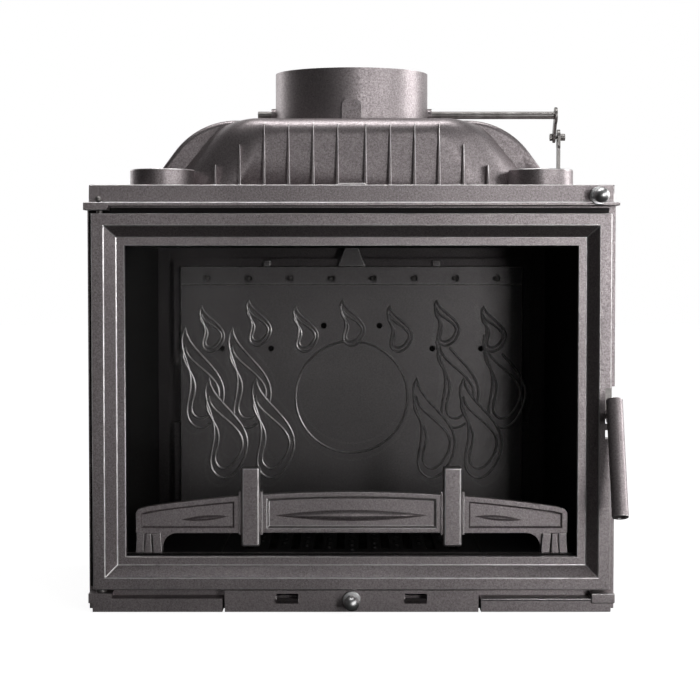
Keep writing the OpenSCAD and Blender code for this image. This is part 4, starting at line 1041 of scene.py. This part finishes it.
def lens(middle, half_length, height, tilt):
    """A pointed ridge on a panel: two arcs, raised in steps that draw in."""
    rise = height / 2.0
    radius = (half_length**2 + rise**2) / (2.0 * rise)
    reach = math.degrees(math.asin(half_length / radius))
    upper = arc(0.0, rise - radius, radius, 90.0 + reach, 90.0 - reach, LENS_STEPS)
    lower = arc(0.0, radius - rise, radius, 270.0 + reach, 270.0 - reach, LENS_STEPS)
    panel = (GUARD_FRONT + PANEL_DEPTH) * MM
    mesh = bmesh.new()
    face = mesh.faces.new(
        [mesh.verts.new((x * MM, panel, z * MM)) for x, z in upper + lower[1:-1]]
    )
    for ahead, share in LENS_LAYERS:
        moved, top = pulled(mesh, face)
        move(mesh, moved, y=-ahead)
        bmesh.ops.scale(mesh, vec=(0.5 + 0.5 * share, 1.0, share), verts=moved)
        bmesh.ops.delete(mesh, geom=[face], context="FACES_ONLY")
        face = top
    turn = Matrix.Rotation(math.radians(tilt), 3, "Y")
    bmesh.ops.rotate(mesh, matrix=turn, verts=mesh.verts)
    move(mesh, mesh.verts, x=middle[0], z=middle[1])
    bmesh.ops.recalc_face_normals(mesh, faces=mesh.faces)
    return mesh


print("ridge layers:", len(LENS_LAYERS))

# %% [markdown]
# The side pieces: a panelled bay, a rounded web and a leg below it, a post with a bead on
# either side, and a foot of three tapered ribs. They are made once, for the left, and mirrored.

# %% Log guard: side pieces
CORNER = 8.0
CORNER_END = 95.0
CORNER_STEPS = 6
FILLET = 20.0
FILLET_STEPS = 8
FOOT_IN = 252.0
POST_X = 134.3
POST_HALF = 12.5
POST_FRONT = guard_low.y
POST_LOW = 81.0
POST_TOP = guard_high.z
POST_SOFT = 3.2
POST_STEPS = 5
BAY_GAP = 15.4
SEAM = 1.0
WEB_SET_BACK = 0.6
LEG_SET_BACK = 1.4
LEG_SET_IN = 0.6
LEG_SOFT = 0.6
BEAD_HALF = 1.7
BEAD_OFF_BAY = 1.1
BEAD_AHEAD = 1.6
BEAD_LOW = BAR_LOW - 2.4
BEAD_HIGH = BAR_HIGH + 0.4
BEAD_SOFT = 1.0
SIDE_LENS = {"middle": (-195.5, 118.0), "half_length": 31.0, "height": 7.0, "tilt": -4.5}
FOOT_RIBS = (
    ((-285.6, -275.6), (-287.0, -276.6), -179.0),
    ((-271.6, -266.4), (-275.6, -265.6), -182.0),
    ((-265.0, -253.8), (-262.6, -251.8), -181.0),
)
FOOT_RIB_SOFT = 0.8


def foot_rib(top, foot, front):
    """One tapered rib of a foot, between two widths in X at its top and at its foot."""
    outline = [(foot[0], GUARD_FLOOR), (foot[1], GUARD_FLOOR), (top[1], BAR_LOW), (top[0], BAR_LOW)]
    mesh = plate(outline, front, GUARD_BACK)
    round_edges(mesh, FOOT_RIB_SOFT)
    return mesh


def bead(out):
    """The narrow bead where a bay meets the post, on one side of the post."""
    x = -POST_X + out * (BAY_GAP - BEAD_OFF_BAY)
    across, depth = (x - BEAD_HALF, x + BEAD_HALF), (GUARD_FRONT - BEAD_AHEAD, GUARD_BACK)
    return block(across, depth, (BEAD_LOW, BEAD_HIGH), BEAD_SOFT)


bay_in = POST_X + BAY_GAP
corner_x = -GUARD_END + CORNER
side_bay = panelled(
    [(-bay_in, BAR_LOW), (-GUARD_END, BAR_LOW)]
    + arc(corner_x, bar_top(GUARD_END) - CORNER, CORNER, 180.0, CORNER_END, CORNER_STEPS)
    + arched(corner_x + CORNER, -bay_in)
)
post_across, post_depth = (-POST_X - POST_HALF, -POST_X + POST_HALF), (POST_FRONT, GUARD_BACK)
post = block(post_across, post_depth, (POST_LOW, POST_TOP), POST_SOFT, POST_STEPS)
fillet_x = -(FOOT_IN - FILLET)
seam_x, seam_z = -FOOT_IN - SEAM, BAR_LOW + SEAM
web = plate(
    arc(fillet_x, BAR_LOW - FILLET, FILLET, 90.0, 180.0, FILLET_STEPS)
    + [(seam_x, BAR_LOW - FILLET), (seam_x, seam_z), (fillet_x, seam_z)],
    GUARD_FRONT + WEB_SET_BACK, GUARD_BACK,
)
leg_across, leg_depth = (-GUARD_END + LEG_SET_IN, -FOOT_IN), (GUARD_FRONT + LEG_SET_BACK, GUARD_BACK)
leg = block(leg_across, leg_depth, (GUARD_FLOOR, seam_z), LEG_SOFT)
side_pieces = [side_bay, web, leg, post, lens(**SIDE_LENS), bead(-1.0), bead(1.0)]
side_pieces += [foot_rib(*shape) for shape in FOOT_RIBS]
print("side pieces:", len(side_pieces))

# %% [markdown]
# The middle bay spans the two posts. All pieces then become one mesh, as in the real casting.

# %% Log guard: whole
MIDDLE_LENS = {"middle": (0.0, 121.5), "half_length": 102.0, "height": 15.0, "tilt": 0.0}


def mirrored(mesh):
    """The same piece on the other side of the middle plane."""
    copy = mesh.copy()
    bmesh.ops.scale(copy, vec=(-1.0, 1.0, 1.0), verts=copy.verts)
    bmesh.ops.reverse_faces(copy, faces=copy.faces)
    return copy


half_middle = POST_X - BAY_GAP
middle_bay = panelled(
    [(half_middle, BAR_LOW), (-half_middle, BAR_LOW)] + arched(-half_middle, half_middle)
)
guard = [middle_bay, lens(**MIDDLE_LENS)] + side_pieces + [mirrored(p) for p in side_pieces]
finish_piece("cast_log_guard", merged(guard), ("log_guard",))
print("log guard pieces:", len(guard))

# %% [markdown]
# A knob is a plated ball with a short neck, and a thin flange behind it. Both are a half
# outline spun round the rod's axis, as on a lathe. The ball's middle is the rod's end.

# %% Knobs and flanges
BALL = 10.0
BALL_TURN = 150.0
BALL_STEPS = 20
NECK = 4.6
NECK_FROM = 9.4
NECK_TO = 13.0
FLANGE = 12.0
FLANGE_THICK = 3.0
FLANGE_OUTER = 1.2
FLANGE_INNER = 0.4
SAME_POINT = 0.001 * MM


def turned(outline, centre, steps=48):
    """A closed outline of (radius, depth) in mm, spun round the Y axis at a centre."""
    mesh = bmesh.new()
    points = [mesh.verts.new((r * MM, y * MM, 0.0)) for r, y in outline]
    edges = [mesh.edges.new(pair) for pair in zip(points, points[1:])]
    bmesh.ops.spin(
        mesh, geom=points + edges, cent=(0.0, 0.0, 0.0), axis=(0.0, 1.0, 0.0), dvec=(0.0, 0.0, 0.0),
        angle=math.tau, steps=steps, use_merge=True,
    )
    bmesh.ops.remove_doubles(mesh, verts=mesh.verts, dist=SAME_POINT)
    bmesh.ops.recalc_face_normals(mesh, faces=mesh.faces)
    move(mesh, mesh.verts, *centre)
    return mesh


def dome_end(radius, turn, steps):
    """The outline of a ball's front, from its tip round by an angle in degrees."""
    angles = [math.radians(turn) * i / steps for i in range(steps + 1)]
    return [(radius * math.sin(a), -radius * math.cos(a)) for a in angles]


ball_outline = dome_end(BALL, BALL_TURN, BALL_STEPS)
ball_outline += [(NECK, NECK_FROM), (NECK, NECK_TO), (0.0, NECK_TO)]
flange_outline = [
    (0.0, 0.0), (FLANGE - FLANGE_OUTER, 0.0), (FLANGE - FLANGE_INNER, FLANGE_INNER),
    (FLANGE, FLANGE_OUTER), (FLANGE, FLANGE_THICK - FLANGE_INNER),
    (FLANGE - FLANGE_INNER, FLANGE_THICK), (0.0, FLANGE_THICK),
]
for knob, rod, body in (
    ("damper_knob", "damper_rod", "damper_pull"), ("air_knob", "air_rod", "air_control"),
):
    rod_low, rod_high = box_mm(rod)
    rod_x, rod_z = [round((rod_low[i] + rod_high[i]) / 2.0, 2) for i in (0, 2)]
    ball = turned(ball_outline, (rod_x, rod_low.y, rod_z))
    finish_piece("turned_" + knob, ball, (knob,), "bright_chrome", body)
    flange = knob + "_flange"
    disc = turned(flange_outline, (rod_x, box_mm(flange)[0].y, rod_z))
    finish_piece("turned_" + flange, disc, (flange,), "bright_chrome", body)
    print(knob, "at", rod_x, rod_low.y, rod_z)

# %% [markdown]
# The upper hinge pin shows its domed head at the left end of the top band. A small ball, partly
# sunk in the band, makes it.

# %% Hinge pin's head
PIN_HEAD = 4.2
PIN_HEAD_X = -329.0
PIN_HEAD_Z = 540.2
PIN_HEAD_SUNK = 4.8
pin_head = bmesh.new()
made = bmesh.ops.create_uvsphere(pin_head, u_segments=24, v_segments=12, radius=PIN_HEAD * MM)
band_front = box_mm("top_plate")[0].y
move(pin_head, made["verts"], PIN_HEAD_X, band_front + PIN_HEAD_SUNK, PIN_HEAD_Z)
finish_piece("hinge_pin_head", pin_head, slot="plain_steel")
print("pin head radius:", PIN_HEAD, "mm")

# %% [markdown]
# The fireback is a plate with a raised strip along its top. Eight shallow nozzle holes and six
# deep vents are cut from it by a Boolean, which keeps the face flat round each hole.

# %% Fireback plate
fireback_low, fireback_high = box_mm("fireback")
FIREBACK_FACE = 140.0
FIREBACK_BACK = fireback_high.y
FIREBACK_HALF = 255.0
FIREBACK_FOOT = fireback_low.z
FIREBACK_TOP = fireback_high.z
FIREBACK_SOFT = 1.2
STRIP_FRONT = fireback_low.y
STRIP_LOW = 426.0
STRIP_IN = 1.0
NOZZLES = 8
NOZZLE_SPAN = 429.8
NOZZLE_Z = 435.5
NOZZLE_HOLE = 6.5
VENTS = ((193.0, 331.0), (120.4, 331.0), (41.5, 365.0))
VENT_HOLE = 4.5
CUT_FROM = 130.0
NOZZLE_CUT_TO = 147.0
VENT_CUT_TO = 160.0
HOLE_SIDES = 32


def round_cutter(x, z, radius, back):
    """A cylinder along Y that cuts a hole from the front to a depth."""
    mesh = cylinder(radius, back - CUT_FROM, HOLE_SIDES)
    turn = Matrix.Rotation(math.radians(90.0), 3, "X")
    bmesh.ops.rotate(mesh, matrix=turn, verts=mesh.verts)
    move(mesh, mesh.verts, x, (CUT_FROM + back) / 2.0, z)
    return mesh


nozzle_places = [NOZZLE_SPAN * (step / (NOZZLES - 1) - 0.5) for step in range(NOZZLES)]
vent_places = [(side * x, z) for x, z in VENTS for side in (-1.0, 1.0)]
across = (-FIREBACK_HALF, FIREBACK_HALF)
slab_depth, strip_depth = (FIREBACK_FACE, FIREBACK_BACK), (STRIP_FRONT, FIREBACK_BACK - STRIP_IN)
slab = block(across, slab_depth, (FIREBACK_FOOT, FIREBACK_TOP), FIREBACK_SOFT)
strip = block(across, strip_depth, (STRIP_LOW, FIREBACK_TOP), FIREBACK_SOFT)
holes = [round_cutter(x, NOZZLE_Z, NOZZLE_HOLE, NOZZLE_CUT_TO) for x in nozzle_places]
holes += [round_cutter(x, z, VENT_HOLE, VENT_CUT_TO) for x, z in vent_places]
fireback_mesh = carved(
    as_object("fireback_slab", slab), as_object("fireback_strip", strip),
    as_object("fireback_holes", merged(holes)),
)
print("fireback faces:", len(fireback_mesh.faces), "holes:", len(nozzle_places) + len(vent_places))
finish_piece("cast_fireback", fireback_mesh, ("fireback",), "smooth_iron")

# %% [markdown]
# The relief is tongues of flame. Each is a leaf whose half width swells and shrinks along its
# height, and whose middle line sways. The two formulas also tell what a nearer flame hides.

# %% Flame shape
FLAME_STEPS = 22
FLAME_SWAY = 300.0
FLAME_SWELL = 0.55
FLAME_SPACING = 1.5
HIDDEN_MARGIN = 1.0


def flame_middle(flame, share):
    """The middle line's place in X at a share of the height. A flame is x, z, height, width."""
    foot_x, _, _, width = flame
    return foot_x + width / 2.0 * math.sin(math.radians(FLAME_SWAY) * share) * share


def flame_half(flame, share):
    """Half the flame's width at a share of its height."""
    return flame[3] / 2.0 * math.sin(math.pi * share**FLAME_SWELL)


def flame_outline(flame, fill):
    """The closed outline of a flame, or of a smaller one inside it, by a fill under 1."""
    _, foot_z, height, _ = flame
    right, left = [], []
    for step in range(FLAME_STEPS + 1):
        share = (step / FLAME_STEPS) ** FLAME_SPACING
        level = foot_z + (1.0 - fill) * height / 3.0 + fill * height * share
        middle, half = flame_middle(flame, share), fill * flame_half(flame, share)
        right.append((middle + half, level))
        left.append((middle - half, level))
    return right + left[-2:0:-1]


def hidden(point, nearer):
    """Whether a point lies inside one of the flames that stand nearer."""
    x, z = point
    for flame in nearer:
        share = (z - flame[1]) / flame[2]
        if 0.0 < share < 1.0:
            if abs(x - flame_middle(flame, share)) < flame_half(flame, share) + HIDDEN_MARGIN:
                return True
    return False


def shown_runs(outline, nearer):
    """The parts of an outline that no nearer flame covers."""
    runs, run = [], []
    for point in outline + outline[:1]:
        if hidden(point, nearer):
            runs.append(run)
            run = []
        else:
            run.append(point)
    return [r for r in runs + [run] if len(r) > 1]


print("points in a flame:", 2 * FLAME_STEPS)

# %% [markdown]
# Each flame is drawn twice, one outline inside the other, and a plain ring stands in the
# middle. A curve with a bevel depth turns the lines into round beads, partly sunk in the face.
# The beads count as edges, so the lighter edge colour, partly wear and partly a painted
# highlight, picks them out.

# %% Relief ridges
MEDALLION_Z = 258.5
MEDALLION_R = 83.4
MEDALLION_STEPS = 72
FILLS = (1.0, 0.72)
TALL_FLAME = (150.0, 52.0)
TALL_ROWS = ((0, 1), (0, 0), (1, 1), (1, 0))
TALL_FROM = 225.0
TALL_FOOT = 137.0
ROW_RISE = 75.0
FLAME_PITCH = 70.0
SMALL_FLAME = (68.0, 30.0)
SMALL_FOOT = 335.0
SMALL_DROP = 9.0
BEAD = 1.7
BEAD_PROUD = 0.5

flames = []
for row, column in TALL_ROWS:
    foot_x = TALL_FROM - (column + row / 2.0) * FLAME_PITCH
    foot_z = TALL_FOOT + (1 - row) * ROW_RISE
    flames += [(side * foot_x, foot_z, *TALL_FLAME) for side in (-1.0, 1.0)]
flames += [
    (FLAME_PITCH * i, SMALL_FOOT - SMALL_DROP * (i % 2), *SMALL_FLAME) for i in range(-3, 4)
]
ridges = [arc(0.0, MEDALLION_Z, MEDALLION_R, 0.0, 360.0, MEDALLION_STEPS)]
for place, flame in enumerate(flames):
    for fill in FILLS:
        ridges += shown_runs(flame_outline(flame, fill), flames[place + 1:])
ridge_curve = bpy.data.curves.new("relief_ridges", "CURVE")
ridge_curve.dimensions = "3D"
ridge_curve.bevel_depth = BEAD * MM
ridge_curve.bevel_resolution = 2
for outline in ridges:
    line = ridge_curve.splines.new("POLY")
    line.points.add(len(outline) - 1)
    for point, (x, z) in zip(line.points, outline):
        point.co = (x * MM, (FIREBACK_FACE - BEAD_PROUD) * MM, z * MM, 1.0)
ridge_holder = placed("relief_ridges", ridge_curve)
ridge_mesh = evaluated(ridge_holder)
bpy.data.objects.remove(ridge_holder)
# Every bead face gets the edge mark, so the beads are painted lighter: wear and painted highlight
ridge_mark = ridge_mesh.faces.layers.float.new("edge")
for face in ridge_mesh.faces:
    face[ridge_mark] = 1.0
finish_piece("cast_relief", ridge_mesh, slot="smooth_iron")
print("relief ridges:", len(ridges))

# %% [markdown]
# Air leaves the fireback through the eight nozzles. In each hole stands a small turned tip
# with a round end, which catches the light as a bright dot in a dark ring.

# %% Nozzle tips
NOZZLE_BED = 141.0
TIP = 3.4
TIP_LONG = 6.5
TIP_STEPS = 6
TIP_SIDES = 20
tip_outline = dome_end(TIP, 90.0, TIP_STEPS) + [(TIP, TIP_LONG), (0.0, TIP_LONG)]
tips = [turned(tip_outline, (x, NOZZLE_BED, NOZZLE_Z), TIP_SIDES) for x in nozzle_places]
finish_piece("nozzle_tips", merged(tips), slot="plain_steel")
print("nozzle tips:", len(tips))

# %% [markdown]
# The glass, its gasket and the rope seal have the right shape already. Their solids stay and
# only take their finish.

# %% Kept solids
KEPT = ("door_glass", "glass_gasket", "door_rope_seal")
for node in KEPT:
    nodes[node].data.materials.clear()
    nodes[node].data.materials.append(FINISH[SLOT[node]])
print("kept solids:", len(KEPT))
